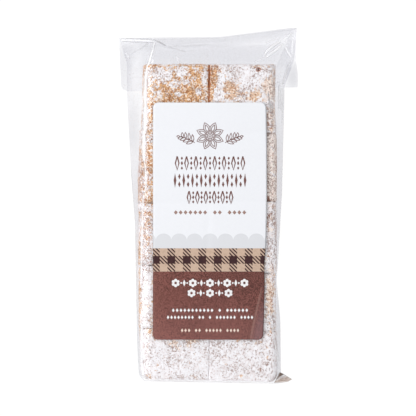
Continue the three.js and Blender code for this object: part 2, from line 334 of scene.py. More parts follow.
def crease_rise(x, y):
    """What the soft creases add to the film's height."""
    total = np.zeros_like(x)
    for path, rise, half_width in CREASES:
        nearest = np.full_like(x, np.inf)
        along = np.zeros_like(x)
        lengths = [math.dist(a, b) for a, b in zip(path, path[1:])]
        whole = sum(lengths)
        walked = 0.0
        for (ax, ay), (bx, by), length in zip(path, path[1:], lengths):
            dx, dy = (bx - ax) / length, (by - ay) / length
            t = np.clip((x - ax) * dx + (y - ay) * dy, 0, length)
            distance = np.hypot(x - ax - t * dx, y - ay - t * dy)
            closer = distance < nearest
            nearest = np.where(closer, distance, nearest)
            along = np.where(closer, (walked + t) / whole, along)
            walked += length
        taper = np.clip(np.minimum(along, 1 - along) / 0.22, 0.15, 1)
        total += rise * taper * np.clip(1 - nearest / half_width, 0, 1) ** 1.6
    return total


# ---- meshes and nodes -------------------------------------------------------------------------------------


def srgb(red, green, blue):
    """A colour of 0 to 255 values as the linear values that Blender uses."""
    shares = (red / 255, green / 255, blue / 255)
    return tuple(c / 12.92 if c <= 0.04045 else ((c + 0.055) / 1.055) ** 2.4 for c in shares)


def scaled(colour, factor):
    return tuple(c * factor for c in colour)


def link(name, data):
    """A new object in the scene."""
    piece = bpy.data.objects.new(name, data)
    bpy.context.scene.collection.objects.link(piece)
    return piece


def make_object(name, points, faces, material, smooth=True):
    mesh = bpy.data.meshes.new(name)
    mesh.from_pydata([tuple(point) for point in points], [], faces)
    mesh.validate()
    mesh.update()
    if smooth:
        mesh.shade_smooth()
    mesh.materials.append(material)
    return link(name, mesh)


def points_of(mesh):
    points = np.empty(len(mesh.vertices) * 3, np.float32)
    mesh.vertices.foreach_get("co", points)
    return points.reshape(-1, 3)


def keep(piece, replaced=None):
    """Ties a finished piece to the frame."""
    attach(piece, "root")
    if replaced:
        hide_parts(replaced)


def make_piece(name, points, faces, material, slot, replaced=None, **marks):
    """A piece from points of the plan, with marks: numbers that are stored on its points."""
    piece = make_object(name, to_scene(points), faces, material)
    for label, values in marks.items():
        attribute = piece.data.attributes.new(label, "FLOAT", "POINT")
        attribute.data.foreach_set("value", np.asarray(values, np.float32))
    keep(piece, replaced)
    return piece


def join_pieces(name, pieces):
    """Joins plain mesh objects into the first of them."""
    with bpy.context.temp_override(active_object=pieces[0], selected_editable_objects=pieces):
        bpy.ops.object.join()
    pieces[0].name = pieces[0].data.name = name
    return pieces[0]


def arithmetic(operation, swapped=False):
    """A method that adds a Math node to a value and another, or to the other and the value."""

    def work(self, other):
        return self.sheet.math(operation, *((other, self) if swapped else (self, other)))

    return work


class Value:
    """A socket of a node tree that takes part in arithmetic."""

    __add__ = __radd__ = arithmetic("ADD")
    __mul__ = __rmul__ = arithmetic("MULTIPLY")
    __sub__ = arithmetic("SUBTRACT")
    __rsub__ = arithmetic("SUBTRACT", swapped=True)
    __truediv__ = arithmetic("DIVIDE")
    __pow__ = arithmetic("POWER")

    def __init__(self, sheet, socket):
        self.sheet, self.socket = sheet, socket

    def math(self, operation, *others):
        return self.sheet.math(operation, self, *others)

    def above(self, edge, soft):
        """1 where the value is above an edge, 0 below it, easing over soft on both sides."""
        spans = {"Value": self, "From Min": edge - soft, "From Max": edge + soft}
        return self.sheet.node("ShaderNodeMapRange", spans, interpolation_type="SMOOTHSTEP")

    def within(self, low, high, soft):
        return self.above(low, soft) * (1 - self.above(high, soft))

    def clamped(self):
        return self.sheet.node("ShaderNodeClamp", {"Value": self})


class Sheet:
    """A node tree, with one way to add any node."""

    def __init__(self, tree):
        self.tree = tree
        tree.nodes.clear()

    def node(self, kind, inputs=(), output=0, **settings):
        """Adds a node and gives one of its outputs. A colour input may come without its alpha."""
        node = self.tree.nodes.new(kind)
        for name, value in settings.items():
            setattr(node, name, value)
        for key, value in dict(inputs).items():
            socket = node.inputs[key]
            if isinstance(value, Value):
                self.tree.links.new(value.socket, socket)
            else:
                socket.default_value = (*value, 1) if socket.type == "RGBA" else value
        return Value(self, node.outputs[output]) if len(node.outputs) else None

    def math(self, operation, *values):
        return self.node("ShaderNodeMath", dict(enumerate(values)), operation=operation)

    def vector(self, operation, *values):
        return self.node("ShaderNodeVectorMath", dict(enumerate(values)), operation=operation)

    def scale(self, vector, factor):
        return self.node("ShaderNodeVectorMath", {0: vector, "Scale": factor}, operation="SCALE")

    def join(self, x, y, z):
        return self.node("ShaderNodeCombineXYZ", {0: x, 1: y, 2: z})

    def split(self, vector):
        node = self.node("ShaderNodeSeparateXYZ", {0: vector}).socket.node
        return [Value(self, socket) for socket in node.outputs]

    def attribute(self, name):
        return self.node("ShaderNodeAttribute", output="Fac", attribute_name=name)

    def mix(self, share, first, second):
        """A colour between two colours."""
        return self.node("ShaderNodeMix", {0: share, 6: first, 7: second}, 2, data_type="RGBA")

    def blend(self, share, first, second):
        """A surface between two surfaces."""
        return self.node("ShaderNodeMixShader", {0: share, 1: first, 2: second})

    def clear(self, colour):
        return self.node("ShaderNodeBsdfTransparent", {"Color": colour})

    def noise(self, place, size, detail=2.0, rough=0.55, seed=0.0):
        """Noise of about 0 to 1 whose features have a size in millimetres."""
        inputs = {"Vector": place, "W": seed, "Scale": 1 / (size * MM), "Detail": detail, "Roughness": rough}
        return self.node("ShaderNodeTexNoise", inputs, noise_dimensions="4D")

    def bump(self, height, strength, distance_mm):
        inputs = {"Height": height, "Strength": strength, "Distance": distance_mm * MM}
        return self.node("ShaderNodeBump", inputs)

    def surface(self, colour, roughness, specular=0.5, **others):
        inputs = {"Base Color": colour, "Roughness": roughness, "Specular IOR Level": specular}
        inputs.update({name.replace("_", " "): value for name, value in others.items()})
        return self.node("ShaderNodeBsdfPrincipled", inputs)

    def stored(self, geometry, name, value, domain="POINT"):
        """Geometry with a number stored at each point or instance."""
        inputs = {"Geometry": geometry, "Name": name, "Value": value}
        return self.node("GeometryNodeStoreNamedAttribute", inputs, data_type="FLOAT", domain=domain)

    def finish_shape(self, geometry, material):
        """Ends a Geometry Nodes tree with plain geometry in a material."""
        whole = self.node("GeometryNodeRealizeInstances", {"Geometry": geometry})
        dressed = self.node("GeometryNodeSetMaterial", {"Geometry": whole, "Material": material})
        self.node("NodeGroupOutput", {"Geometry": dressed})


def new_material(name, draw, *given):
    """A material with the surface that draw() adds to its sheet, from the object's own coordinates."""
    material = bpy.data.materials.new(name)
    material.use_nodes = True
    sheet = Sheet(material.node_tree)
    place = sheet.node("ShaderNodeTexCoord", output="Object")
    sheet.node("ShaderNodeOutputMaterial", {"Surface": draw(sheet, place, *given)})
    return material


def new_shape_tree(name, **inputs):
    """A Geometry Nodes tree with named inputs, as (sheet, the inputs as values by name)."""
    tree = bpy.data.node_groups.new(name, "GeometryNodeTree")
    tree.interface.new_socket("Geometry", in_out="OUTPUT", socket_type="NodeSocketGeometry")
    labels = {key.replace("_", " "): kind for key, kind in inputs.items()}
    for label, kind in labels.items():
        tree.interface.new_socket(label, in_out="INPUT", socket_type="NodeSocket" + kind)
    sheet = Sheet(tree)
    sockets = tree.nodes.new("NodeGroupInput").outputs
    return sheet, {label: Value(sheet, sockets[label]) for label in labels}


def grow(name, sheet, values, start=None):
    """Runs a Geometry Nodes tree once and returns its result as a plain mesh object."""
    piece = link(name, start or bpy.data.meshes.new(name))
    modifier = piece.modifiers.new("shape", "NODES")
    modifier.node_group = sheet.tree
    for item in sheet.tree.interface.items_tree:
        if item.name in values:
            modifier[item.identifier] = values[item.name]
    bpy.context.view_layer.update()
    depsgraph = bpy.context.evaluated_depsgraph_get()
    mesh = bpy.data.meshes.new_from_object(piece.evaluated_get(depsgraph), depsgraph=depsgraph)
    piece.modifiers.clear()
    piece.data = mesh
    mesh.name = name
    if not len(mesh.polygons):
        raise RuntimeError(name + " came out empty")
    return piece


# ---- settings ---------------------------------------------------------------------------------------------


def number_setting(name, about, default, high, low=0):
    return bpy.props.FloatProperty(name=name, description=about, default=default, min=low, max=high)


def length_setting(name, about, default, low, high):
    """A length, given here in millimetres and held in metres."""
    return bpy.props.FloatProperty(
        name=name, description=about, default=default * MM, min=low * MM, max=high * MM, unit="LENGTH",
        precision=5,
    )


def colour_setting(name, about, default):
    return bpy.props.FloatVectorProperty(
        name=name, description=about, default=default, min=0, max=1, subtype="COLOR",
    )


class SweetsPieces(bpy.types.PropertyGroup):
    spacing: length_setting("Mesh spacing", "Distance between a piece's points", 0.62, 0.3, 3)
    corner: length_setting("Corner radius", "How rounded a cut edge is", 0.8, 0.5, 5)
    gap: length_setting("Gap", "Space between two pieces of a column", 0.04, 0, 2)
    below_film: length_setting("Below the film", "How far a piece's face lies below the film", 0.5, 0, 2)
    sugar: colour_setting("White sugar", "Colour of the powdered sugar", srgb(251, 249, 250))
    crust: colour_setting("Cinnamon sugar", "Colour of the cinnamon sugar crust", srgb(234, 186, 136))
    spice: colour_setting("Cinnamon", "Colour of the densest cinnamon", srgb(182, 123, 76))
    dull_crust: colour_setting("Dull crust", "Colour of the crust where it is dull", srgb(252, 241, 234))
    dull_spice: colour_setting("Dull cinnamon", "Colour of the cinnamon in dull crust", srgb(206, 172, 154))


class SweetsCrumbs(bpy.types.PropertyGroup):
    brown_density: number_setting("Cinnamon crumbs", "Crumbs on a square millimetre of bare crust", 0.75, 3)
    white_density: number_setting("Sugar grains", "Grains on a square millimetre of white sugar", 0.5, 3)
    size: length_setting("Grain radius", "Radius of a middling grain", 0.2, 0.05, 1)
    seed: bpy.props.IntProperty(name="Seed", description="Chooses where the grains lie", default=4)


class SweetsFilm(bpy.types.PropertyGroup):
    shoulder: length_setting("Shoulder radius", "How roundly the film turns over the outer edges", 6.5, 2, 9)
    waves: length_setting("Waves", "Height of the film's gentle waves", 0.22, 0, 1)
    tint: colour_setting("Tint", "What one layer of film lets through", (0.974, 0.975, 0.984))
    slant_tint: colour_setting("Slant tint", "What one layer seen edge on lets through", (0.64, 0.64, 0.68))


class SweetsLabel(bpy.types.PropertyGroup):
    paper: colour_setting("Paper", "Colour of the bare label", (0.79, 0.80, 0.83))
    ink: colour_setting("Brown ink", "Colour of the label's brown field", srgb(106, 65, 59))
    check: length_setting("Check", "Side of one square of the check", 3.85, 1, 10)


class SweetsStage(bpy.types.PropertyGroup):
    distance: length_setting("Camera height", "Camera height above the floor", 3000, 500, 5000)
    span: length_setting("View width", "Width that the camera sees a little above the floor", 208, 100, 1000)
    side_light: number_setting("Side light", "Radiance of the softbox on the left", 7.2, 100)
    back_light: number_setting("Back light", "Radiance of the softbox beyond the upper left corner", 5.6, 100)
    soft_light: number_setting("Soft light", "Radiance of the softboxes on the right and below", 1.15, 100)
    fill: number_setting("Fill", "Radiance of the even light all round", 0.5, 5)


# ---- stage ------------------------------------------------------------------------------------------------

VIEW_Y, AIM_HEIGHT, FOCUS_HEIGHT = 7.5, 10, 7
FLOOR_REACH, FLOOR_DROP = 2500, 0.1
SENSOR_WIDTH, NEAREST, FARTHEST = 36, 0.05, 20
# The softboxes as (name, compass angle, angle from upright, distance, width, height, setting), in metres.
SOFTBOXES = (
    ("side_softbox", 178, 50, 1.0, 0.30, 0.74, "side_light"),
    ("back_softbox", 130, 62, 1.1, 0.5, 0.42, "back_light"),
    ("right_softbox", 2, 46, 1.2, 0.8, 1.1, "soft_light"),
    ("front_softbox", 270, 46, 1.2, 0.8, 0.7, "soft_light"),
)


def add_softbox(name, azimuth, polar, distance, width, height, radiance):
    """A rectangular light aimed at the pack, placed by its compass angle and its angle from upright."""
    a, p = math.radians(azimuth), math.radians(polar)
    direction = Vector((math.cos(a) * math.sin(p), math.sin(a) * math.sin(p), math.cos(p)))
    lamp = bpy.data.lights.new(name, "AREA")
    lamp.shape = "RECTANGLE"
    lamp.size, lamp.size_y = width, height
    lamp.energy = radiance * math.pi * width * height
    holder = link(name, lamp)
    holder.location = Vector(to_scene((0, VIEW_Y, AIM_HEIGHT))) + direction * distance
    holder.rotation_euler = direction.to_track_quat("Z", "Y").to_euler()
    holder.visible_camera = False


def floor_surface(sheet, place):
    """A pale floor that glows evenly."""
    grain = sheet.noise(place, 40, detail=3)
    grey = sheet.mix(grain.above(0.5, 0.3), (0.09, 0.09, 0.09), (0.1, 0.1, 0.1))
    return sheet.surface(grey, 0.9, 0.0, Emission_Color=(1, 1, 1), Emission_Strength=0.94)


class SWEETS_OT_stage(bpy.types.Operator):
    """Lays the pale floor and sets the lights and the camera"""

    bl_idname = "sweets.stage"
    bl_label = "Stage"

    def execute(self, context):
        scene = context.scene
        settings = scene.sweets_stage
        signs = ((-1, -1), (1, -1), (1, 1), (-1, 1))
        corners = to_scene([(x * FLOOR_REACH, y * FLOOR_REACH, 0) for x, y in signs])
        material = new_material("pale_floor", floor_surface)
        floor = make_object("floor", corners - (0, 0, FLOOR_DROP * MM), [(0, 1, 2, 3)], material)
        for *placing, setting in SOFTBOXES:
            add_softbox(*placing, getattr(settings, setting))

        world = bpy.data.worlds.new("soft_room")
        world.use_nodes = True
        scene.world = world
        sheet = Sheet(world.node_tree)
        light = sheet.node("ShaderNodeBackground", {"Color": (0.98, 0.985, 1), "Strength": settings.fill})
        sheet.node("ShaderNodeOutputWorld", {"Surface": light})

        lens = bpy.data.cameras.new("camera")
        lens.sensor_width = SENSOR_WIDTH
        lens.lens = lens.sensor_width * (settings.distance - FOCUS_HEIGHT * MM) / settings.span
        lens.clip_start, lens.clip_end = NEAREST, FARTHEST
        camera = link("camera", lens)
        camera.location = to_scene((0, VIEW_Y, settings.distance / MM))
        scene.camera = camera

        scene.view_settings.view_transform = "Standard"
        scene.view_settings.look = "None"
        scene.cycles.transparent_max_bounces = 32
        return {"FINISHED"}


# ---- marshmallows -----------------------------------------------------------------------------------------

# How high the underside of each row lies, how far round the arc of a pressed edge may go, the share of its
# drop that an end and the underside take, how far the sides bulge, how far a pressed end reaches in, how
# askew the lowest ends are, how far a face swells, and the rough surface as (size, detail, height) of noise.
BOTTOMS = (1.25, 0.65, 0.65, 0.65, 0.65)
TURN_LIMIT, END_TURN_LIMIT = 0.985, 0.97
END_DROP, LOWER_DROP = 0.56, 0.62
WAIST = 0.45
END_SLUMP, END_SKEW, SWELL = 2.5, -0.31, 0.3
ROUGHNESS = ((11, 1, 1.5), (3.2, 2, 0.8), (1.2, 1, 0.35))
NO_CORNER = 0.01

# The noises of the coating as (size, detail, roughness, seed).
COATING_NOISES = {
    "patches": (6.5, 3, 0.6, 1.7), "clumps": (1.9, 2, 0.6, 5.1), "grain": (0.75, 1, 0.5, 9.4),
    "mottle": (2.6, 1, 0.55, 2.2), "grit": (0.95, 1, 0.6, 7.9), "fine": (0.55, 0, 0.55, 8.6),
    "cloud": (1.7, 3, 0.65, 3.3), "ridge": (1.9, 3, 0.75, 11.3), "broken": (1.0, 2, 0.65, 12.9),
    "crowd": (7.0, 2, 0.5, 13.6), "specks": (0.8, 1, 0.6, 14.1),
}


def coating_noises(sheet, place, *names):
    return [sheet.noise(place, *COATING_NOISES[name]) for name in names]


def bareness(sheet, place, bias):
    """How bare of white sugar the coating is at a place, from 0 to 1, for a bias of 0 to 1."""
    patches, clumps, grain = coating_noises(sheet, place, "patches", "clumps", "grain")
    spread = patches * 0.52 + clumps * 0.38 + grain * 0.28
    return spread.above(0.755 - 0.32 * bias, 0.04)


def coating_surface(sheet, place, settings):
    """Sugar and cinnamon: white sugar in clumps, with cracks and flecks, over a grained crust."""
    bias, joint, dull = (sheet.attribute(name) for name in ("bare", "dark", "dull"))
    bare = bareness(sheet, place, bias)
    mottle, grit, fine, cloud = coating_noises(sheet, place, "mottle", "grit", "fine", "cloud")
    grains = grit * 0.55 + fine * 0.45
    dark = (grains + mottle * 0.35).above(0.735, 0.03)
    sand = sheet.mix(dull, settings.crust, settings.dull_crust)
    spice = sheet.mix(dull, settings.spice, settings.dull_spice)
    grained = sheet.mix(dark * (1 - 0.55 * dull), sand, spice)
    crust = sheet.mix(grains.above(0.435, 0.03), srgb(252, 242, 230), grained)
    # Where the cloud is low the sugar is greyer: painted shade in the small hollows between its clumps.
    sugar = sheet.mix(cloud.above(0.45, 0.09), srgb(240, 233, 232), settings.sugar)

    # Short crooked cracks between the clumps of sugar show the crust below.
    ridge, broken, crowd, specks = coating_noises(sheet, place, "ridge", "broken", "crowd", "specks")
    crooked = 1 - (ridge - 0.5).math("ABSOLUTE").above(0.026, 0.02)
    cracks = crooked * (broken + crowd * 0.6).above(0.84 - 0.1 * bias, 0.04)
    flecks = (specks + crowd * 0.2).above(0.765, 0.03)
    marks = cracks.math("MAXIMUM", flecks)

    colour = sheet.mix(bare, sugar, crust)
    mark_colour = sheet.mix(dull.clamped(), srgb(158, 112, 88), srgb(126, 92, 80))
    # The dark mark is partly real and partly painted: darker crust and cinnamon at the seam, and painted
    # shade in the seam and on the right column beside the label.
    stain_and_shade = sheet.mix(dull.clamped(), srgb(190, 112, 60), srgb(140, 100, 82))
    stain_and_shade_share = (joint + (grains - 0.5) * 2.2).above(0.48, 0.34)
    for share, over in (
        (marks * 0.85, mark_colour), (stain_and_shade_share * 0.9, stain_and_shade), (joint.above(1.6, 0.4), srgb(92, 48, 30)),
    ):
        colour = sheet.mix(share, colour, over)
    height = cloud * 0.5 - bare * 0.3 - marks * 0.35 + grit * 0.6 + fine * 0.2
    return sheet.surface(colour, 0.85, 0.25, Normal=sheet.bump(height, 0.7, 0.5))


def marshmallow_tree():
    """A rounded block that the film has pressed, with the shares of its coating stored on its points."""
    sheet, given = new_shape_tree(
        "marshmallow", Half_Size="Vector", Centre="Vector", Points="Vector", Corner="Float",
        Outer_Side="Float", Slump="Float", End_Slump="Float", End_Corner="Float", Taper="Float",
        End_Skew="Float", Crown="Float", Seed="Float", Bare="Float", End_Bare="Float", Dull="Float",
        Joint_Shade="Float", Material="Material",
    )
    half, corner, outer = given["Half Size"], given["Corner"], given["Outer Side"]
    half_x, half_y, half_z = sheet.split(half)
    count_x, count_y, count_z = sheet.split(given["Points"])
    block = sheet.node("GeometryNodeMeshCube", {
        "Size": sheet.scale(half, 2.0),
        "Vertices X": count_x, "Vertices Y": count_y, "Vertices Z": count_z,
    })
    start = sheet.node("GeometryNodeInputPosition")
    limit = sheet.vector("SUBTRACT", half, sheet.join(corner, corner, corner))
    core = sheet.vector("MAXIMUM", sheet.vector("MINIMUM", start, limit), sheet.scale(limit, -1.0))
    outward = sheet.vector("NORMALIZE", sheet.vector("SUBTRACT", start, core))
    x, y, z = sheet.split(sheet.vector("ADD", core, sheet.scale(outward, corner)))
    out_x, out_y = sheet.split(outward)[:2]

    def rounding(radius, distance, limit):
        """How far an edge is rounded down at a distance from it, as a share of the radius."""
        turn = ((radius - distance) / radius).clamped() * limit
        return 1 - (1 - turn * turn) ** 0.5

    # The outer edge is pressed round by the film, the face swells a little and the sides bulge.
    slump, end_slump = given["Slump"], given["End Slump"]
    drop = slump * rounding(slump, half_x - outer * x, TURN_LIMIT)
    end_drop = end_slump * END_DROP * rounding(end_slump, half_y - y.math("ABSOLUTE"), END_TURN_LIMIT)
    level = z / half_z
    upper, lower = level.clamped(), (level * -1.0).clamped()
    swell = (1 - (x / half_x) ** 4) * (1 - (y / half_y) ** 4) * given["Crown"]
    new_z = z - (drop + end_drop) * upper + drop * LOWER_DROP * lower + swell * upper
    waist = (1 - level * level) * WAIST * MM
    outer_share = outer * x / half_x * 0.5 + 0.5
    taper = outer * outer_share * given["Taper"] * (y / half_y)
    skew = given["End Skew"] * (x / half_x) * (0.5 - y / half_y * 0.5)
    round_end = given["End Corner"]
    reach = (round_end - half_y - y).math("MAXIMUM", 0.0).math("MINIMUM", round_end * 0.98)
    cut = outer * (round_end - (round_end * round_end - reach * reach) ** 0.5) * outer_share**4
    moved = sheet.join(x + out_x * waist + taper - cut, y + out_y * waist * 0.3 + skew, new_z)

    place = sheet.vector("ADD", moved, given["Centre"])
    rough = 0.0
    for size, detail, height in ROUGHNESS:
        rough = (sheet.noise(place, size, detail=detail, seed=given["Seed"]) - 0.5) * height * MM + rough
    coated = sheet.vector("ADD", place, sheet.scale(outward, rough))
    upper_end = (y / MM - half_y / MM).above(-5.0, 4.5)
    # The sides that face the joint are darkened: cinnamon on the cut sides, and painted shade in the seam.
    joint_side = (out_x * outer * -1.0).above(0.5, 0.35)
    block = sheet.stored(block, "bare", given["Bare"] + given["End Bare"] * upper_end)
    block = sheet.stored(block, "dark", joint_side * given["Joint Shade"])
    block = sheet.stored(block, "dull", given["Dull"])
    shaped = sheet.node("GeometryNodeSetPosition", {"Geometry": block, "Position": coated})
    smooth = sheet.node("GeometryNodeSetShadeSmooth", {"Geometry": shaped})
    sheet.finish_shape(smooth, given["Material"])
    return sheet


def patch_values(x, y, patches):
    """The sum at each point of the plan of a table of soft-edged patches."""
    total = np.zeros(len(x))
    for middle_x, middle_y, half_width, half_height, change in patches:
        across = np.clip(1 - ((x - middle_x) / half_width) ** 2, 0, 1)
        total += change * across * np.clip(1 - ((y - middle_y) / half_height) ** 2, 0, 1)
    return total


def add_patches(mesh):
    """Adds the patches of the coating to what a marshmallow's points carry."""
    x, y = ((points_of(mesh) - np.array(ORIGIN)) / MM)[:, :2].T
    for name, patches in PATCHES.items():
        values = np.empty(len(x), np.float32)
        mesh.attributes[name].data.foreach_get("value", values)
        values += patch_values(x, y, patches).astype(np.float32)
        mesh.attributes[name].data.foreach_set("value", values)


class SWEETS_OT_marshmallows(bpy.types.Operator):
    """Makes the ten marshmallows, two columns of five"""

    bl_idname = "sweets.marshmallows"
    bl_label = "Marshmallows"

    def execute(self, context):
        settings = context.scene.sweets_pieces
        sheet = marshmallow_tree()
        material = new_material("sugar_coating", coating_surface, settings)
        gap, below, spacing = (value / MM for value in (settings.gap, settings.below_film, settings.spacing))
        for column, column_name in ((LEFT, "left"), (RIGHT, "right")):
            joints = joints_of(column)
            side = column["side"]
            for row, (upper, lower) in enumerate(column["edges"]):
                last = row == len(column["edges"]) - 1
                high, low = joints[row] - gap / 2, joints[row + 1] + gap / 2
                outer = side * ((upper + lower) / 2 - SIDE_SLACK)
                inner = JOINT_X + side * JOINT_GAPS[row] / 2
                top, bottom = THICKNESS + column["lifts"][row] - below, BOTTOMS[row]
                half = np.array([abs(outer - inner), high - low, top - bottom]) / 2
                centre = ((outer + inner) / 2, (high + low) / 2, (top + bottom) / 2)
                piece = grow(f"marshmallow_{column_name}_{row + 1}", sheet, {
                    "Half Size": tuple(half * MM),
                    "Centre": tuple(to_scene(centre)),
                    "Points": tuple(np.maximum(4, np.round(2 * half / spacing))),
                    "Corner": settings.corner * CORNER_SHARES[row],
                    "Outer Side": float(side),
                    "Slump": column["slump"] * MM,
                    "End Slump": END_SLUMP * MM,
                    "End Corner": (END_CORNER if last else NO_CORNER) * MM,
                    "Taper": (upper - lower) / 2 * MM,
                    "End Skew": END_SKEW * MM if last else 0.0,
                    "Crown": SWELL * MM,
                    "Seed": 3.7 * row + (side > 0) * 1.9,
                    "Bare": column["bare"][row],
                    "End Bare": column["end_bare"][row],
                    "Dull": column["dull"][row],
                    "Joint Shade": JOINT_SHADES[row],
                    "Material": material,
                })
                add_patches(piece.data)
                keep(piece)
        return {"FINISHED"}


# ---- crumbs -----------------------------------------------------------------------------------------------

# Square millimetres in a square metre.
SQUARE_METRE = 1e6
CRUMB_KINDS = {
    "cinnamon_crumbs": {
        "material": "cinnamon_grains", "colours": (srgb(214, 160, 112), srgb(128, 78, 50)),
        "density": "brown_density", "scale": 1.0,
    },
    "sugar_grains": {
        "material": "sugar_grains", "colours": (srgb(252, 250, 250), srgb(236, 226, 220)),
        "density": "white_density", "scale": 1.15,
    },
}


def crumb_surface(sheet, place, colours):
    colour = sheet.mix(sheet.attribute("tone"), *colours)
    return sheet.surface(colour, 0.6, Normal=sheet.bump(sheet.noise(place, 0.3, detail=1), 0.3, 0.1))


def crumb_tree(name):
    """Scatters grains over the pieces: cinnamon on the bare crust, and sugar on the white sugar."""
    sheet, given = new_shape_tree(
        name, Surface="Geometry", Density="Float", Radius="Float", Seed="Int", Material="Material",
    )
    place = sheet.node("GeometryNodeInputPosition")
    bias, dull = (
        sheet.node("GeometryNodeInputNamedAttribute", {"Name": stored}, data_type="FLOAT")
        for stored in ("bare", "dull")
    )
    bare = bareness(sheet, place, bias)
    x, _, z = sheet.split(place)
    off_joint = (x - (ORIGIN[0] + JOINT_X * MM)).math("ABSOLUTE").above(1.1 * MM, 0.2 * MM)
    off_floor = z.above(3 * MM, 1 * MM)
    if name == "cinnamon_crumbs":
        share = (0.10 + 0.90 * bare) * (1 - 0.75 * dull.clamped())
    else:
        share = 1.0 - 0.8 * bare
    spots = sheet.node("GeometryNodeDistributePointsOnFaces", {
        "Mesh": given["Surface"], "Seed": given["Seed"],
        "Density": given["Density"] * SQUARE_METRE * share * off_joint * off_floor,
    })
    grain = sheet.node("GeometryNodeMeshUVSphere", {"Segments": 4, "Rings": 2, "Radius": given["Radius"]})
    full_turn = (6.28, 6.28, 6.28)
    turn = sheet.node("FunctionNodeRandomValue", {1: full_turn, "Seed": 11}, data_type="FLOAT_VECTOR")
    sizes = {0: (0.45, 0.45, 0.4), 1: (1.5, 1.4, 1.1), "Seed": 12}
    size = sheet.node("FunctionNodeRandomValue", sizes, data_type="FLOAT_VECTOR")
    tone = sheet.node("FunctionNodeRandomValue", {"Seed": 13}, 1, data_type="FLOAT")
    placed = sheet.node("GeometryNodeInstanceOnPoints", {
        "Points": spots, "Instance": grain, "Rotation": turn, "Scale": size,
    })
    sheet.finish_shape(sheet.stored(placed, "tone", tone, "INSTANCE"), given["Material"])
    return sheet


def surface_copy():
    """One mesh of all ten marshmallows, to scatter grains over."""
    pieces = [piece for piece in bpy.data.objects if piece.name.startswith("marshmallow_")]
    whole = join_pieces("surface", [link("surface", piece.data.copy()) for piece in pieces])
    mesh = whole.data
    bpy.data.objects.remove(whole)
    return mesh


class SWEETS_OT_crumbs(bpy.types.Operator):
    """Scatters cinnamon crumbs and sugar grains over the marshmallows"""

    bl_idname = "sweets.crumbs"
    bl_label = "Crumbs"

    def execute(self, context):
        settings = context.scene.sweets_crumbs
        mesh = surface_copy()
        for name, kind in CRUMB_KINDS.items():
            material = new_material(kind["material"], crumb_surface, kind["colours"])
            values = {
                "Density": getattr(settings, kind["density"]), "Radius": settings.size * kind["scale"],
                "Seed": settings.seed, "Material": material,
            }
            keep(grow(name, crumb_tree(name), values, mesh.copy()))
        return {"FINISHED"}


# ---- film -------------------------------------------------------------------------------------------------

# How many stations a side of a row has on its fin and on its arc, and the front between them.
FIN_STEPS, ARC_STEPS, FACE_STEPS = 12, 14, 58
# How many rows each part of the bag has, from the seam round the fold to the mouth of the flap.
WALL_ROWS, TURN_ROWS, FACE_ROWS, HEADER_ROWS, ROLL_ROWS, FLAP_ROWS = 6, 12, 170, 63, 11, 25
# The end wall leans in by END_STAND up to WALL_SHARE of the height and turns into the face on END_RADIUS.
END_RADIUS, END_STAND, WALL_SHARE = 3.0, 0.5, 0.8
FACE_LOW, FACE_HIGH = END_STAND + END_RADIUS, BLOCK_TOP - END_RADIUS
ROLL_START = math.radians(50)
FLOOR_GAP = 0.06
# Above the flap the back rises by BACK_LIFT between two places.
BACK_LIFT, BACK_RISE = 0.75, (62, 66)
FILM_LIFT, EDGE_LIFT = 0.15, 0.25
FILM_TOP = THICKNESS + 0.3
# Towards the fold the arc of each side moves out by HEADER_EDGE, or in where that is negative, and its
# radius becomes HEADER_SHOULDER.
HEADER_EDGE = {-1: -5.5, 1: 9.0}
HEADER_SHOULDER = 2.5
# How far from x = 0 the rim of a row is taken to be, to find the y of its ends.
RIM_X = 40.0
# The gentle waves of the film as (size, seed, share of their height).
WAVE_SIZES = ((14, 1, 1.0), (6.5, 2, 0.55), (3, 3, 0.3))
# The shares of the block's rounded lower corner by which the film's arc and its crease draw in there.
ARC_INSET, END_INSET = 0.7, {-1: 0.9, 1: 0.5}
FLAP_CORNER = 3


def even_shares(count, start=0):
    """Shares from 0 to 1 in a number of equal steps, with 0 itself or from the first step on."""
    return np.linspace(0, 1, count + 1)[start:]


def across_of(x):
    return (x - x[0]) / (x[-1] - x[0])


def seam_y(x):
    return value_at(SEAM, x)


def fold_y(x):
    return value_at(FOLD, x, 1.5)


def fold_radius(x):
    return value_at(FOLD_HEIGHTS, x, 5) / 2


def side_section(edge, crease, top, rim, radius):
    """One side of the film's section, from the crease in to where the face is level.

    The film turns over the block's outer edge on an arc and runs straight to the crease. Gives how far out
    each station is, and what share of the height above the rim it has.
    """
    depth = max(top - rim, 0.2)
    radius = min(radius, 0.52 * depth)
    reach = max(crease - edge + radius, radius * 1.02)
    down = depth - radius
    turn = math.atan2(down, reach) + math.asin(min(0.999, radius / math.hypot(reach, down)))
    angles = turn * np.linspace(1, 0, ARC_STEPS + 1)
    arc_out = edge - radius + radius * np.sin(angles)
    arc_down = radius * (1 - np.cos(angles))
    fin = even_shares(FIN_STEPS)[:-1]
    out = np.concatenate([crease + (arc_out[0] - crease) * fin, arc_out])
    fall = np.concatenate([depth + (arc_down[0] - depth) * fin, arc_down])
    return out, 1 - fall / depth


def header_fall(share):
    """What share of its height the film has lost between the block's top (0) and the fold (1)."""
    return 0.42 * share**1.5 + 0.58 * share**6


def header_drop(x, share):
    end = FLOOR_GAP + fold_radius(x) * (1 + math.cos(ROLL_START))
    return (FILM_TOP - end) * header_fall(share)


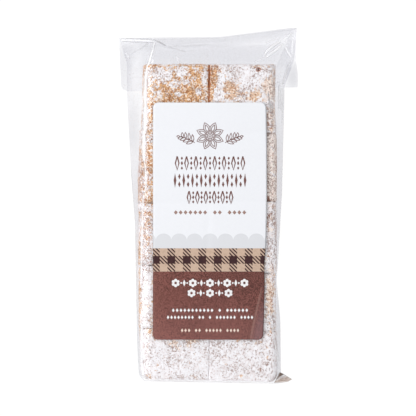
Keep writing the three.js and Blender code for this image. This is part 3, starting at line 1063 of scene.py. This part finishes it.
def film_rows():
    """The rows from the seam to the fold as (in the end wall, y at x, share of the height, of the header)."""
    rows = []
    for share in even_shares(WALL_ROWS)[:-1]:
        rows.append((True, lambda x, s=share: seam_y(x) + END_STAND * s, WALL_SHARE * share, 0.0))
    for turn in np.radians(np.linspace(90, 0, TURN_ROWS)):
        step = END_STAND + END_RADIUS * (1 - math.sin(turn))
        lift = 1 - (1 - WALL_SHARE) * (1 - math.cos(turn))
        rows.append((True, lambda x, s=step: seam_y(x) + s, lift, 0.0))
    for share in even_shares(FACE_ROWS, 1):
        rows.append((False, lambda x, s=share: (seam_y(x) + FACE_LOW) * (1 - s) + FACE_HIGH * s, 1.0, 0.0))
    for share in even_shares(HEADER_ROWS, 1):
        top = lambda x: fold_y(x) - fold_radius(x) * (1 - math.sin(ROLL_START))
        rows.append((False, lambda x, s=share: FACE_HIGH * (1 - s) + top(x) * s, 1.0, share))
    return rows


def side_of_row(column, in_end, y, share, shoulder):
    """The stations of one side of a row: how far out, share of the height, and the height of the rim."""
    side = column["side"]
    crease = float(value_at(LEFT_CREASE if column is LEFT else RIGHT_CREASE, y, 1.5))
    edge = float(block_edge(column, np.array([[y]]))[0, 0]) + EDGE_LIFT + HEADER_EDGE[side] * share
    x = side * crease
    if in_end:
        reach = max(0.0, END_CORNER - (y - float(seam_y(x))))
        inset = END_CORNER - math.sqrt(END_CORNER**2 - reach**2)
        edge, crease = edge - inset * ARC_INSET, crease - inset * END_INSET[side]
    fall = header_fall(share)
    rim = float(value_at(CREASE_HEIGHTS, y)) * (1 - fall) + (FLOOR_GAP + float(fold_radius(x))) * fall
    radius = shoulder * column["film_turn"]
    radius += (HEADER_SHOULDER - radius) * ease(share, 0.0, 0.7)
    out, lift = side_section(edge, crease, FILM_TOP - float(header_drop(x, share)), rim, radius)
    return out, lift, rim


def open_rows(shoulder):
    """The rows from the seam to the fold as [front, back, share of the height, share of the header]."""
    rings = []
    for in_end, y_of, height_share, share in film_rows():
        (left_out, left_lift, left_rim), (right_out, right_lift, right_rim) = (
            side_of_row(column, in_end, float(y_of(column["side"] * RIM_X)), share, shoulder)
            for column in COLUMNS
        )
        middle = np.linspace(-left_out[-1], right_out[-1], FACE_STEPS + 1)[1:-1]
        x = np.concatenate([-left_out, middle, right_out[::-1]])
        lift = np.concatenate([left_lift, np.ones(len(middle)), right_lift[::-1]])
        rim = left_rim + (right_rim - left_rim) * across_of(x)
        y = y_of(x)
        top = film_height(x[None, :], y[None, :])[0] + FILM_LIFT - header_drop(x, share)
        bottom = (FLOOR_GAP + BACK_LIFT * ease(y, *BACK_RISE)) * (1 - share)
        bottom += (FLOOR_GAP + fold_radius(x) * 1.5) * share
        raised = lift * height_share
        front = np.stack([x, y, rim + (top - rim) * raised], axis=1)
        back = np.stack([x, y, rim - (rim - bottom) * raised], axis=1)
        rings.append([front, back, raised, share])
    return rings


def ruffle(rings, waves):
    """Adds the waves and the soft creases to the rows between the seam and the fold."""
    front, back, raised, fold_share = (np.stack(part) for part in zip(*rings))
    fold_share = fold_share[:, None]
    x, y, plan = front[..., 0], front[..., 1], front[..., :2]
    off_label = 1 - 0.9 * under_label(x, y)
    loose = np.clip(1.6 * np.abs(x) / 40 - 0.6, 0, 1) + fold_share
    gentle = sum(share * spread_noise(plan, size, seed) for size, seed, share in WAVE_SIZES)
    gentle = gentle * (0.45 + 1.1 * np.clip(loose, 0, 1)) * waves
    hold = np.clip(raised * 2.2, 0, 1) * off_label * np.clip((1 - fold_share) * 6, 0, 1)
    front[..., 2] += (gentle + crease_rise(x, y)) * hold
    back[..., 2] += np.clip(spread_noise(plan, 8, 5), 0, 1) * 0.7 * fold_share * hold
    return list(zip(front, back))


def roll(x, radius, own_radius, turn):
    """A row of film on its way round the fold."""
    y = fold_y(x) - radius + own_radius * math.sin(turn)
    z = FLOOR_GAP + radius + own_radius * math.cos(turn)
    return np.stack([x, y, z], axis=1)


def pinch(front, back, lift):
    """Brings a row's two layers together towards the side creases."""
    middle = (front + back) / 2
    share = lift[:, None]
    return middle + (front - middle) * share, middle + (back - middle) * share


def film_mesh(shoulder, waves):
    """The bag as one closed skin: rings of front and back film from the seam to the mouth of the flap."""
    rings = open_rows(shoulder)
    x, last_lift = rings[-1][0][:, 0], rings[-1][2]
    rows = ruffle(rings, waves)
    radius = fold_radius(x)
    for turn in np.linspace(ROLL_START, math.pi, ROLL_ROWS + 1)[1:]:
        rows.append(pinch(roll(x, radius, radius, turn), roll(x, radius, radius * 0.5, turn), last_lift))
    for share in even_shares(FLAP_ROWS, 1):
        y = (fold_y(x) - radius) * (1 - share) + value_at(MOUTH, x) * share
        left, right = -value_at(FLAP_LEFT, y[0]), value_at(FLAP_RIGHT, y[-1], 2)
        corner = max(0.0, FLAP_CORNER - (y[0] - MOUTH[0][1]))
        left += FLAP_CORNER - math.sqrt(FLAP_CORNER**2 - corner**2)
        new_x = left + (right - left) * across_of(x)
        flutter = 0.12 * np.sin(new_x * 0.31 + y * 0.9) * share
        inner = FLOOR_GAP + (radius * 0.5 * (1 - share) ** 2 + LAYER) * (1 - share**8)
        front = np.stack([new_x, y, np.full_like(x, FLOOR_GAP)], axis=1)
        back = np.stack([new_x, y, inner + np.abs(flutter) * (1 - share**8)], axis=1)
        rows.append(pinch(front, back, last_lift))
    return sew(rows)


def sew(rows):
    """Joins the rows of front and back film into one skin that is sewn at the sides and at both ends."""
    count = len(rows[0][0])
    points, faces, ids = [], [], []
    for index, (front, back) in enumerate(rows):
        start = len(points)
        ring = list(range(start, start + count))
        if index in (0, len(rows) - 1):
            points.extend((front + back) / 2)
            ring += ring[-2:0:-1]
        else:
            points.extend(front)
            points.extend(back[-2:0:-1])
            ring += list(range(start + count, start + 2 * count - 2))
        ids.append(ring)
    for lower, upper in zip(ids, ids[1:]):
        for k in range(len(lower)):
            n = (k + 1) % len(lower)
            faces.append((lower[k], lower[n], upper[n], upper[k]))
    return np.array(points), faces


def film_below(tree, x, y):
    """The height of the film at a place of the plan, or None beside it."""
    hit = tree.ray_cast(Vector((x, y, 60)), Vector((0, 0, -1)))[0]
    return hit.z if hit else None


def ear_mesh(tree):
    """The gathered film at the lower right corner: pleats that fan out from the corner of the bag.

    Gives points, faces, and how far round the fan each point is.
    """
    stations, pleats = 14, 96
    root_low, root_high = np.array((32.9, -79.7, 13.0)), np.array((34.1, -77.2, 14.0))
    rim = np.array([
        (35.5, -74.3, 12.0), (38.2, -75.6, 9.5), (42.0, -78.2, 6.5), (40.2, -79.3, 6.0), (37.0, -79.9, 6.5),
    ])
    rows, turns = [], np.linspace(0, 1, pleats)
    s = np.linspace(0, 1, stations)[:, None]
    for t in turns:
        end = np.array([np.interp(t, (0, 0.22, 0.55, 0.75, 1), rim[:, axis]) for axis in range(3)])
        start = root_high + (root_low - root_high) * t**0.5
        spine = start * (1 - s) + end * s
        for point in spine:
            below = film_below(tree, point[0], point[1])
            point[2] = point[2] if below is None else max(point[2], below + 0.2)
        wave = 2 * np.abs((t * 4.5 + 0.06 * np.sin(5 * s)) % 1 - 0.5) - 0.5
        hold = min(1, 6 * t, 6 * (1 - t)) * np.clip(6 * s, 0.2, 1) * np.clip(8 * (1 - s), 0, 1)
        front = spine + np.concatenate([s * 0, s * 0, (wave + 0.5) * hold * 1.2], axis=1)
        rows.append((front, front - (0, 0, 0.1)))
    points, faces = sew(rows[::-1])
    counts = [stations] + [2 * stations - 2] * (pleats - 2) + [stations]
    return points, faces, np.repeat(turns[::-1], counts)


def film_surface(sheet, place, settings):
    """Clear film: it lets through what lies behind it, a little dimmed, and mirrors the lights."""
    level = sheet.node("ShaderNodeLayerWeight", {"Blend": 0.5}, "Facing")
    # The stored shade is painted shade on the film; where it is negative it takes away some of the slant's
    # dimming.
    dim = (((level - 0.36) * 1.6).math("MAXIMUM", 0.0) + sheet.attribute("shade")).clamped()
    clear = sheet.blend(dim, sheet.clear(settings.tint), sheet.clear(settings.slant_tint))
    ripple = sheet.noise(place, 2.4, detail=2, seed=1.0) + sheet.noise(place, 0.6, detail=1, seed=4.0) * 0.25
    normal = sheet.bump(ripple, 0.35, 0.12)
    gloss = sheet.surface((1, 1, 1), 0.10, Normal=normal, Metallic=1.0)
    facing = sheet.node("ShaderNodeLayerWeight", {"Blend": 0.5, "Normal": normal}, "Facing")
    dust = sheet.noise(place, 0.5, detail=1, seed=6.0).above(0.64, 0.05) * 0.10
    skin = sheet.blend(0.02 + facing**5 * 0.8, clear, gloss)
    return sheet.blend(dust, skin, sheet.surface(srgb(226, 214, 206), 0.9))


def painted_light_surface(sheet, place):
    """Painted light on the film along a line: a painted highlight where the tone is 1 and painted shade where
    it is 0 in the middle, a painted glow above 1, clear at the edges.
    """
    tone = sheet.attribute("tone")
    grain = sheet.noise(place, 1.1, detail=2, seed=5.0)
    share = (sheet.attribute("cover") * (0.7 + grain * 0.6)).clamped()
    colour = sheet.mix(tone, srgb(120, 116, 118), srgb(234, 234, 236))
    glow = {"Emission_Color": (0.9, 0.9, 0.92), "Emission_Strength": (tone - 1).clamped()}
    return sheet.blend(share, sheet.clear((1, 1, 1)), sheet.surface(colour, 0.3, **glow))


def gathered_surface(sheet, place):
    """Gathered film, whose pleats catch crumbs: streaks that run out to the tip, brown for caught cinnamon
    and for painted shade on the pleats, and white for painted highlights.
    """
    turn = sheet.attribute("pleat")
    crumbs = sheet.noise(place, 1.3, detail=2, rough=0.6, seed=2.0)
    middle = turn.within(0.34, 0.80, 0.06)
    tail = middle * (0.22 + crumbs.above(0.54, 0.08) * 0.4)
    rest = turn.within(0.26, 0.30, 0.03) * 0.4 + tail + turn.above(0.92, 0.04) * 0.9
    crumb_and_shade_stripe = sheet.mix(turn.above(0.33, 0.03), srgb(112, 84, 68), srgb(150, 118, 98))
    pale_and_highlit = sheet.mix(middle, srgb(252, 250, 251), srgb(240, 224, 214))
    colour = sheet.mix((turn.within(0.02, 0.20, 0.035) + rest).clamped(), pale_and_highlit, crumb_and_shade_stripe)
    return sheet.blend(0.78, sheet.clear((0.97, 0.97, 0.98)), sheet.surface(colour, 0.25, 0.6))


def left_of(line):
    """The unit vector to the left of a line at each of its points."""
    run = np.gradient(line, axis=0)
    run /= np.maximum(np.linalg.norm(run, axis=1, keepdims=True), 1e-9)
    return np.stack([-run[:, 1], run[:, 0]], axis=1)


def smooth_line(path):
    """A path of a few points as a smooth line of close points, and each one's share of the way."""
    path = np.array(path, float)
    for _ in range(3):
        cut = np.stack([path[:-1] * 0.75 + path[1:] * 0.25, path[:-1] * 0.25 + path[1:] * 0.75], 1)
        path = np.concatenate([path[:1], cut.reshape(-1, 2), path[-1:]])
    walk = np.concatenate([[0], np.cumsum(np.linalg.norm(np.diff(path, axis=0), axis=1))])
    at = np.linspace(0, walk[-1], max(6, int(walk[-1] / STRIP_STEP)))
    return np.stack([np.interp(at, walk, path[:, k]) for k in (0, 1)], 1), at / walk[-1], walk[-1]


def painted_light_strips(tree):
    """The painted highlight and shade lines as narrow strips on the film, as (points, faces, cover, tone)."""

    def skin(spot, offset):
        """The film's height beside a spot of a line, or at the spot itself where no film is beside it."""
        here, beside = film_below(tree, *spot), film_below(tree, *(spot + offset))
        if here is None:
            raise RuntimeError("a crease line leaves the film")
        return here if beside is None else here + min(max(beside - here, -STRIP_SLOPE), STRIP_SLOPE)

    points, faces, cover, tones = [], [], [], []
    for number, (path, widths, strength, tone) in enumerate(PAINTED_LIGHT_LINES):
        line, share, whole = smooth_line(path)
        sides = left_of(line) * np.interp(share, np.linspace(0, 1, len(widths)), widths)[:, None] / 2
        rows = []
        for spot, offset in zip(line, sides):
            front = np.array([
                (*(spot + offset * k), skin(spot, offset * k) + PAINTED_STRIP_LIFT[k] + STRIP_LIFT * number)
                for k in (-1, 0, 1)
            ])
            rows.append((front, front - (0, 0, STRIP_DEPTH)))
        fresh, quads = sew(rows)
        faces += [tuple(len(points) + k for k in quad) for quad in quads]
        strengths = strength * np.clip(np.minimum(share, 1 - share) / min(FADE_SHARE, FADE / whole), 0, 1)
        for index, value in enumerate(strengths):
            end = index in (0, len(strengths) - 1)
            cover += [value * k for k in ((0, 1, 0) if end else (0, 1, 0, 1))]
        tones += [tone] * len(fresh)
        points.extend(fresh)
    return np.array(points), faces, cover, tones


class SWEETS_OT_film(bpy.types.Operator):
    """Draws the clear film bag over the marshmallows, with its flap and the ear at one corner"""

    bl_idname = "sweets.film"
    bl_label = "Film"

    def execute(self, context):
        settings = context.scene.sweets_film
        points, faces = film_mesh(settings.shoulder / MM, settings.waves / MM)
        tree = BVHTree.FromPolygons([tuple(point) for point in points], faces)
        material = new_material("clear_film", film_surface, settings)
        shade = patch_values(points[:, 0], points[:, 1], PAINTED_FILM_SHADE)
        bag = make_piece("film", points, faces, material, "film", "bag", shade=shade)
        bag.data.set_sharp_from_angle(angle=math.radians(60))

        # Strips of painted highlight and painted shade on the film, which cast no shadow.
        points, faces, cover, tone = painted_light_strips(tree)
        material = new_material("creased_film", painted_light_surface)
        lines = make_piece("film_creases", points, faces, material, "film", cover=cover, tone=tone)
        lines.visible_shadow = False

        points, faces, pleat = ear_mesh(tree)
        material = new_material("gathered_film", gathered_surface)
        make_piece("film_ear", points, faces, material, "film", pleat=pleat)
        return {"FINISHED"}


# ---- label ------------------------------------------------------------------------------------------------

LABEL_ROWS, LABEL_STATIONS, LABEL_DEPTH = 118, 72, 0.14
RIBBON_LOW, RIBBON_SQUARES = -24.1, 3
SCALLOP_HEIGHT, SCALLOP_Y = 3.4, -8.6


def label_height(x, y):
    """The height of the label's face: it lies on the film and dips a little along the block's middle."""
    x, y = np.asarray(x, float), np.asarray(y, float)
    film = film_height(x[None, :], y[None, :])[0]
    bend = 0.06 * np.sin(y * 0.075 + 0.6)
    across = np.exp(-(((x - 0.2 - 0.02 * y) / 1.6) ** 2))
    return film + LABEL_LIFT + bend - 0.10 * across * (0.4 + 0.6 * np.exp(-(((y + 5) / 14) ** 2)))


def label_mesh():
    """The label as a thin closed sheet with rounded corners."""
    corner = LABEL["corner"]
    turns = np.radians(np.linspace(0, 90, 9))
    low = LABEL["low"] + corner * (1 - np.cos(turns))
    high = LABEL["high"] - corner * (1 - np.cos(turns[::-1]))
    rows = []
    for y in np.concatenate([low, np.linspace(low[-1], high[0], LABEL_ROWS)[1:-1], high]):
        reach = max(0.0, corner - (y - LABEL["low"]), corner - (LABEL["high"] - y))
        inset = corner - math.sqrt(max(0.0, corner**2 - reach**2))
        left, right = LABEL["left"] + inset, float(value_at(LABEL_RIGHT, y, 3)) - inset
        x = (left + right) / 2 + np.linspace(-1, 1, LABEL_STATIONS) * (right - left) / 2
        ys = np.full_like(x, y)
        top = np.stack([x, ys, label_height(x, ys)], axis=1)
        rows.append((top, top - (0, 0, LABEL_DEPTH)))
    return sew(rows)


def label_surface(sheet, place, settings):
    """Coated paper printed with a brown field, a ribbon of check and a scalloped grey trim."""
    x, y = ((part - float(start)) / MM for part, start in zip(sheet.split(place)[:2], ORIGIN))
    side = settings.check / MM
    from_middle = x - LABEL_X

    fibre = sheet.noise(place, 1.4, detail=3, rough=0.7)
    colour = sheet.mix(fibre.above(0.5, 0.2), settings.paper, scaled(settings.paper, 0.985))
    scallop = (from_middle / (2 * side) + 0.5).math("FRACT") * 2 - 1
    arch = (1 - scallop * scallop).math("MAXIMUM", 0.0) ** 0.5
    trim = (arch * SCALLOP_HEIGHT + SCALLOP_Y - y).above(0.0, 0.12)
    colour = sheet.mix(trim, colour, scaled(settings.paper, 0.84))

    # The ribbon: dark squares where its lengthwise and crosswise stripes meet, and twill where there is one.
    across = ((from_middle + side / 2) / (2 * side)).math("FRACT").above(0.5, 0.006)
    along = ((y - RIBBON_LOW) / (2 * side)).math("FRACT").above(0.5, 0.006)
    twill = ((x + y) / 1.9).math("FRACT").above(0.5, 0.1)
    tan, dark = srgb(196, 170, 150), srgb(58, 34, 36)
    crossing = across * along
    cloth = sheet.mix((across + along - crossing * 2) * twill, sheet.mix(crossing, tan, dark), dark)
    cloth = sheet.mix(fibre.above(0.55, 0.1) * 0.15, cloth, settings.ink)
    band = (y - RIBBON_LOW).above(0.0, 0.05) * (RIBBON_LOW + RIBBON_SQUARES * side - y).above(0.0, 0.05)
    colour = sheet.mix(band, colour, cloth)

    # The brown field is worn a little and lighter towards its lower left, at its left edge and in its lower
    # part.
    # On its lower right lie a painted glare line and, past it, a paler grey painted sheen.
    speckle = sheet.noise(place, 0.42, detail=1, seed=2.0)
    cloud = sheet.noise(place, 14, detail=1, seed=3.0)
    worn = (speckle * 0.9 + cloud * 0.1 - (y + 40) * 0.0012 - from_middle * 0.0008).above(0.5, 0.13)
    field = sheet.mix(worn, scaled(settings.ink, 0.54), scaled(settings.ink, 1.66))
    beyond = x - 21.3 - (y + 57) * 0.225 - (y + 57) * (y + 33) * 0.0016
    glare_line = (1 - beyond.math("ABSOLUTE").above(0.45, 0.5)) * (y + 58).above(0.0, 3.0)
    for share, tone in (
        ((-38 - y).above(9.0, 12.0) * 0.06, (196, 150, 150)),
        ((LABEL["left"] + 3 - x).above(0.0, 4.0) * 0.05, (230, 170, 150)),
        (beyond.above(1.0, 2.0) * (-40 - y).above(2.0, 9.0) * 0.22, (150, 128, 136)),
        (glare_line * (-33 - y).above(0.0, 4.0) * 0.3, (176, 140, 130)),
    ):
        field = sheet.mix(share, field, srgb(*tone))
    colour = sheet.mix((RIBBON_LOW - y).above(0.0, 0.05), colour, field)
    return sheet.surface(colour, 0.5, 0.2, Normal=sheet.bump(fibre, 0.08, 0.05))


class SWEETS_OT_label(bpy.types.Operator):
    """Lays the printed paper label on the front film"""

    bl_idname = "sweets.label"
    bl_label = "Label"

    def execute(self, context):
        points, faces = label_mesh()
        material = new_material("label_paper", label_surface, context.scene.sweets_label)
        make_piece("label_sheet", points, faces, material, "label_paper", "label")
        return {"FINISHED"}


# ---- print ------------------------------------------------------------------------------------------------

INK_RISE, INK_DEPTH = 0.035, 0.05
EMBLEM_Y, EMBLEM_LINE, LOZENGE_LINE = 43.4, 0.34, 0.62
# How many sides each motif has.
DIAMOND, DOT, PETAL = 4, 8, 12
# How wide an outlined and a solid lozenge are, and a diamond and the two dots beside it, which stand between
# two flowers. The petals' width and reach and the height of that diamond are shares of the row's height.
LOZENGE, SOLID_LOZENGE = 1.9, 1.35
GEM_WIDTH, GEM_SHARE, DOT_WIDTH, DOT_ASIDE = 1.5, 0.8, 0.9, 1.5
PETALS, PETAL_SHARE, PETAL_REACH = 6, 0.36, 0.31

# Each ink: the name of its material, its colour, and how worn it is.
INKS = {
    "brown": ("brown_ink", srgb(112, 74, 68), 0.06),
    "pale": ("pale_brown_ink", srgb(150, 120, 110), 0.08),
    "white": ("white_ink", (0.80, 0.79, 0.79), 0.0),
    "cream": ("cream_ink", srgb(226, 206, 192), 0.0),
}

# Rows of print by the y of their middle, their height and their length. The first two kinds alternate
# between two motifs over a number of places. A brown row starts with an outlined lozenge or a solid one, and
# has small diamonds of a width between them, as (y from the row's middle as a share of its height, height).
# A row of words has groups of diamonds, which fill a share of each place.
BROWN_ROWS = [
    {"y": 29.8, "height": 7.2, "length": 35.0, "places": 15, "open": True},
    {"y": 21.2, "height": 7.2, "length": 37.0, "places": 17, "open": False},
    {"y": 12.8, "height": 6.6, "length": 23.0, "places": 11, "open": True},
]
BETWEEN = {
    True: (1.15, ((0.0, 2.25), (0.34, 1.65), (-0.34, 1.65))),
    False: (1.3, ((0.27, 2.9), (-0.27, 2.9))),
}
WHITE_ROWS = [
    {"y": -29.8, "height": 4.3, "length": 38.5, "places": 9},
    {"y": -34.8, "height": 4.3, "length": 23.0, "places": 5},
]
WORD_ROWS = [
    {"ink": "pale", "y": 5.3, "height": 2.2, "length": 36.5, "words": (7, 2, 4), "fill": 0.8},
    {"ink": "white", "y": -43.4, "height": 1.9, "length": 38.5, "words": (11, 1, 6), "fill": 0.72},
    {"ink": "white", "y": -46.9, "height": 1.9, "length": 43.5, "words": (8, 2, 1, 6, 4), "fill": 0.72},
    {"ink": "cream", "y": -53.4, "height": 1.9, "length": 29.5, "words": (3, 2, 5, 4), "fill": 0.7},
]


def ink_surface(sheet, place, colour, worn):
    grain = sheet.noise(place, 0.6, detail=2, rough=0.7)
    paler = tuple(c * (1 - worn) + worn * 0.75 for c in colour)
    return sheet.surface(sheet.mix(grain.above(0.58, 0.12), colour, paler), 0.45, 0.4)


def motif_tree():
    """A row of one flat motif, a disc with a number of sides, repeated at a pitch."""
    sheet, given = new_shape_tree(
        "motif_row", Start="Vector", Pitch="Float", Count="Int", Size="Vector", Sides="Int",
        Material="Material",
    )
    disc = sheet.node("GeometryNodeMeshCylinder", {"Vertices": given["Sides"], "Radius": 0.5, "Depth": 1.0})
    sized = sheet.node("GeometryNodeTransform", {"Geometry": disc, "Scale": given["Size"]})
    pitch = sheet.join(given["Pitch"], 0.0, 0.0)
    line = sheet.node("GeometryNodeMeshLine", {
        "Count": given["Count"], "Start Location": given["Start"], "Offset": pitch,
    })
    placed = sheet.node("GeometryNodeInstanceOnPoints", {"Points": line, "Instance": sized})
    sheet.finish_shape(placed, given["Material"])
    return sheet


def stroke(points, width):
    """A thin inked line along points, as (corners, faces) of a closed flat bar."""
    points = np.asarray(points, float)
    across = left_of(points) * width / 2
    corners = []
    for left, right in zip(points + across, points - across):
        corners += [(*left, 0.5), (*right, 0.5), (*right, -0.5), (*left, -0.5)]
    last = len(corners) - 4
    faces = [
        (a + k, a + 4 + k, a + 4 + (k + 1) % 4, a + (k + 1) % 4) for a in range(0, last, 4) for k in range(4)
    ]
    return corners, faces + [(0, 1, 2, 3), (last + 3, last + 2, last + 1, last)]


def leaf(base, angle, long, wide, count=14):
    """The outline of a pointed leaf as one line from its base round its tip and back."""
    t = np.linspace(0, 1, count)
    half = wide / 2 * np.sin(math.pi * t**0.85)
    outline = np.concatenate([np.stack([t * long, half], 1), np.stack([t[::-1] * long, -half[::-1]], 1)[1:]])
    turn = np.array([[math.cos(angle), math.sin(angle)], [-math.sin(angle), math.cos(angle)]])
    return outline @ turn + base


def lozenge(x, y, width, height):
    """The outline of a tall lozenge as one line."""
    corners = [(0, height / 2), (width / 2, 0), (0, -height / 2), (-width / 2, 0), (0, height / 2)]
    return np.array(corners) * 0.94 + (x, y)


def emblem_lines():
    """The lines of the label's ornament: a rosette between two leafy sprigs."""
    centre = np.array([LABEL_X, EMBLEM_Y])
    lines = []
    for angle in np.radians(np.arange(22.5, 360, 45)):
        heading = np.array([math.cos(angle), math.sin(angle)])
        lines.append(leaf(centre + heading * 1.7, angle, 5.4, 3.1))
        lines.append(leaf(centre + heading * 2.3, angle, 3.6, 1.5))
    ring = np.radians(np.linspace(0, 360, 25))
    for radius in (1.35, 0.6):
        lines.append(centre + radius * np.stack([np.cos(ring), np.sin(ring)], 1))
    for side in (-1, 1):
        stem = lambda t: np.stack([side * (7.6 + 7.4 * t), -3.4 + 4.6 * t - 1.6 * t * t], -1) + centre
        aim = lambda degrees: math.radians(degrees) if side > 0 else math.pi - math.radians(degrees)
        lines.append(stem(np.linspace(0, 1, 16)))
        for share, long in ((0.12, 3.6), (0.36, 3.4), (0.6, 3.0), (0.82, 2.4)):
            for degrees in (86, -18):
                lines.append(leaf(stem(share), aim(degrees), long, 1.15, 9))
        lines.append(leaf(stem(1.0), aim(8), 1.6, 0.9, 8))
    return lines


def draw_lines(name, lines, width, material):
    points, faces = [], []
    for line in lines:
        corners, sides = stroke(line, width)
        faces += [tuple(len(points) + k for k in face) for face in sides]
        points += corners
    return make_object(name, points, faces, material, smooth=False)


def lay_on_label(mesh):
    """Drops a print drawn flat in the pack's plan onto the label's face."""
    x, y, z = points_of(mesh).T
    height = label_height(x, y) + INK_RISE + (z - 0.5) * INK_DEPTH
    placed = to_scene(np.stack([x, y, height], 1)).astype(np.float32)
    mesh.vertices.foreach_set("co", placed.ravel())
    mesh.update()


def spacing_of(row, places):
    """The middle of a row's first place, and the pitch of its places."""
    pitch = row["length"] / places
    return LABEL_X - row["length"] / 2 + pitch / 2, pitch


class SWEETS_OT_print(bpy.types.Operator):
    """Prints the label's ornament and its rows of small motifs"""

    bl_idname = "sweets.print"
    bl_label = "Print"

    def execute(self, context):
        sheet = motif_tree()
        materials = {ink: new_material(name, ink_surface, *looks) for ink, (name, *looks) in INKS.items()}
        parts = {ink: [] for ink in INKS}

        def add(ink, x, y, pitch, count, width, height, sides=DIAMOND):
            """Adds a row of one motif to what an ink prints."""
            parts[ink].append(grow("motifs", sheet, {
                "Start": (x, y, 0.0), "Pitch": pitch, "Count": count, "Size": (width, height, 1.0),
                "Sides": sides, "Material": materials[ink],
            }))

        outlines = []
        parts["brown"].append(draw_lines("emblem", emblem_lines(), EMBLEM_LINE, materials["brown"]))
        for row in BROWN_ROWS:
            y, height, open_row = row["y"], row["height"], row["open"]
            first, pitch = spacing_of(row, row["places"])
            tall = (row["places"] + 1) // 2
            if open_row:
                outlines += [lozenge(first + 2 * pitch * place, y, LOZENGE, height) for place in range(tall)]
            else:
                add("brown", first, y, 2 * pitch, tall, SOLID_LOZENGE, height)
            width, diamonds = BETWEEN[open_row]
            for lift, size in diamonds:
                at = (first + pitch, y + lift * height, 2 * pitch, row["places"] - tall)
                add("brown", *at, width, size)
        parts["brown"].append(draw_lines("outlines", outlines, LOZENGE_LINE, materials["brown"]))

        for row in WORD_ROWS:
            start, pitch = spacing_of(row, sum(row["words"]) + len(row["words"]) - 1)
            for count in row["words"]:
                add(row["ink"], start, row["y"], pitch, count, pitch * row["fill"], row["height"])
                start += (count + 1) * pitch

        for row in WHITE_ROWS:
            y, height = row["y"], row["height"]
            first, pitch = spacing_of(row, row["places"])
            flowers = (row["places"] + 1) // 2
            petal, reach = height * PETAL_SHARE, height * PETAL_REACH
            for turn in np.arange(PETALS) * math.tau / PETALS:
                middle = (first + reach * math.sin(turn), y + reach * math.cos(turn))
                add("white", *middle, 2 * pitch, flowers, petal, petal, PETAL)
            between = (y, 2 * pitch, row["places"] - flowers)
            add("white", first + pitch, *between, GEM_WIDTH, height * GEM_SHARE)
            for aside in (-DOT_ASIDE, DOT_ASIDE):
                add("white", first + pitch + aside, *between, DOT_WIDTH, DOT_WIDTH, DOT)

        for ink, pieces in parts.items():
            piece = join_pieces("print_" + ink, pieces)
            lay_on_label(piece.data)
            keep(piece)
        return {"FINISHED"}


# ---- the add-on -------------------------------------------------------------------------------------------

STEPS = ("stage", "marshmallows", "crumbs", "film", "label", "print")
SETTINGS = {
    "sweets_pieces": SweetsPieces,
    "sweets_crumbs": SweetsCrumbs,
    "sweets_film": SweetsFilm,
    "sweets_label": SweetsLabel,
    "sweets_stage": SweetsStage,
}


class SWEETS_PT_panel(bpy.types.Panel):
    """Lists the steps and their settings"""

    bl_label = "Marshmallow bag"
    bl_space_type = "VIEW_3D"
    bl_region_type = "UI"
    bl_category = "Sweets"

    def draw(self, context):
        for step in STEPS:
            self.layout.operator("sweets." + step)
        for name, group in SETTINGS.items():
            box = self.layout.box()
            for field in group.__annotations__:
                box.prop(getattr(context.scene, name), field)


CLASSES = (
    *SETTINGS.values(), SWEETS_OT_stage, SWEETS_OT_marshmallows, SWEETS_OT_crumbs, SWEETS_OT_film,
    SWEETS_OT_label, SWEETS_OT_print, SWEETS_PT_panel,
)


def register():
    for item in CLASSES:
        bpy.utils.register_class(item)
    for name, group in SETTINGS.items():
        setattr(bpy.types.Scene, name, bpy.props.PointerProperty(type=group))


def unregister():
    for name in SETTINGS:
        delattr(bpy.types.Scene, name)
    for item in reversed(CLASSES):
        bpy.utils.unregister_class(item)


def main():
    register()
    for step in STEPS:
        getattr(bpy.ops.sweets, step)()


if __name__ == "__main__":
    main()
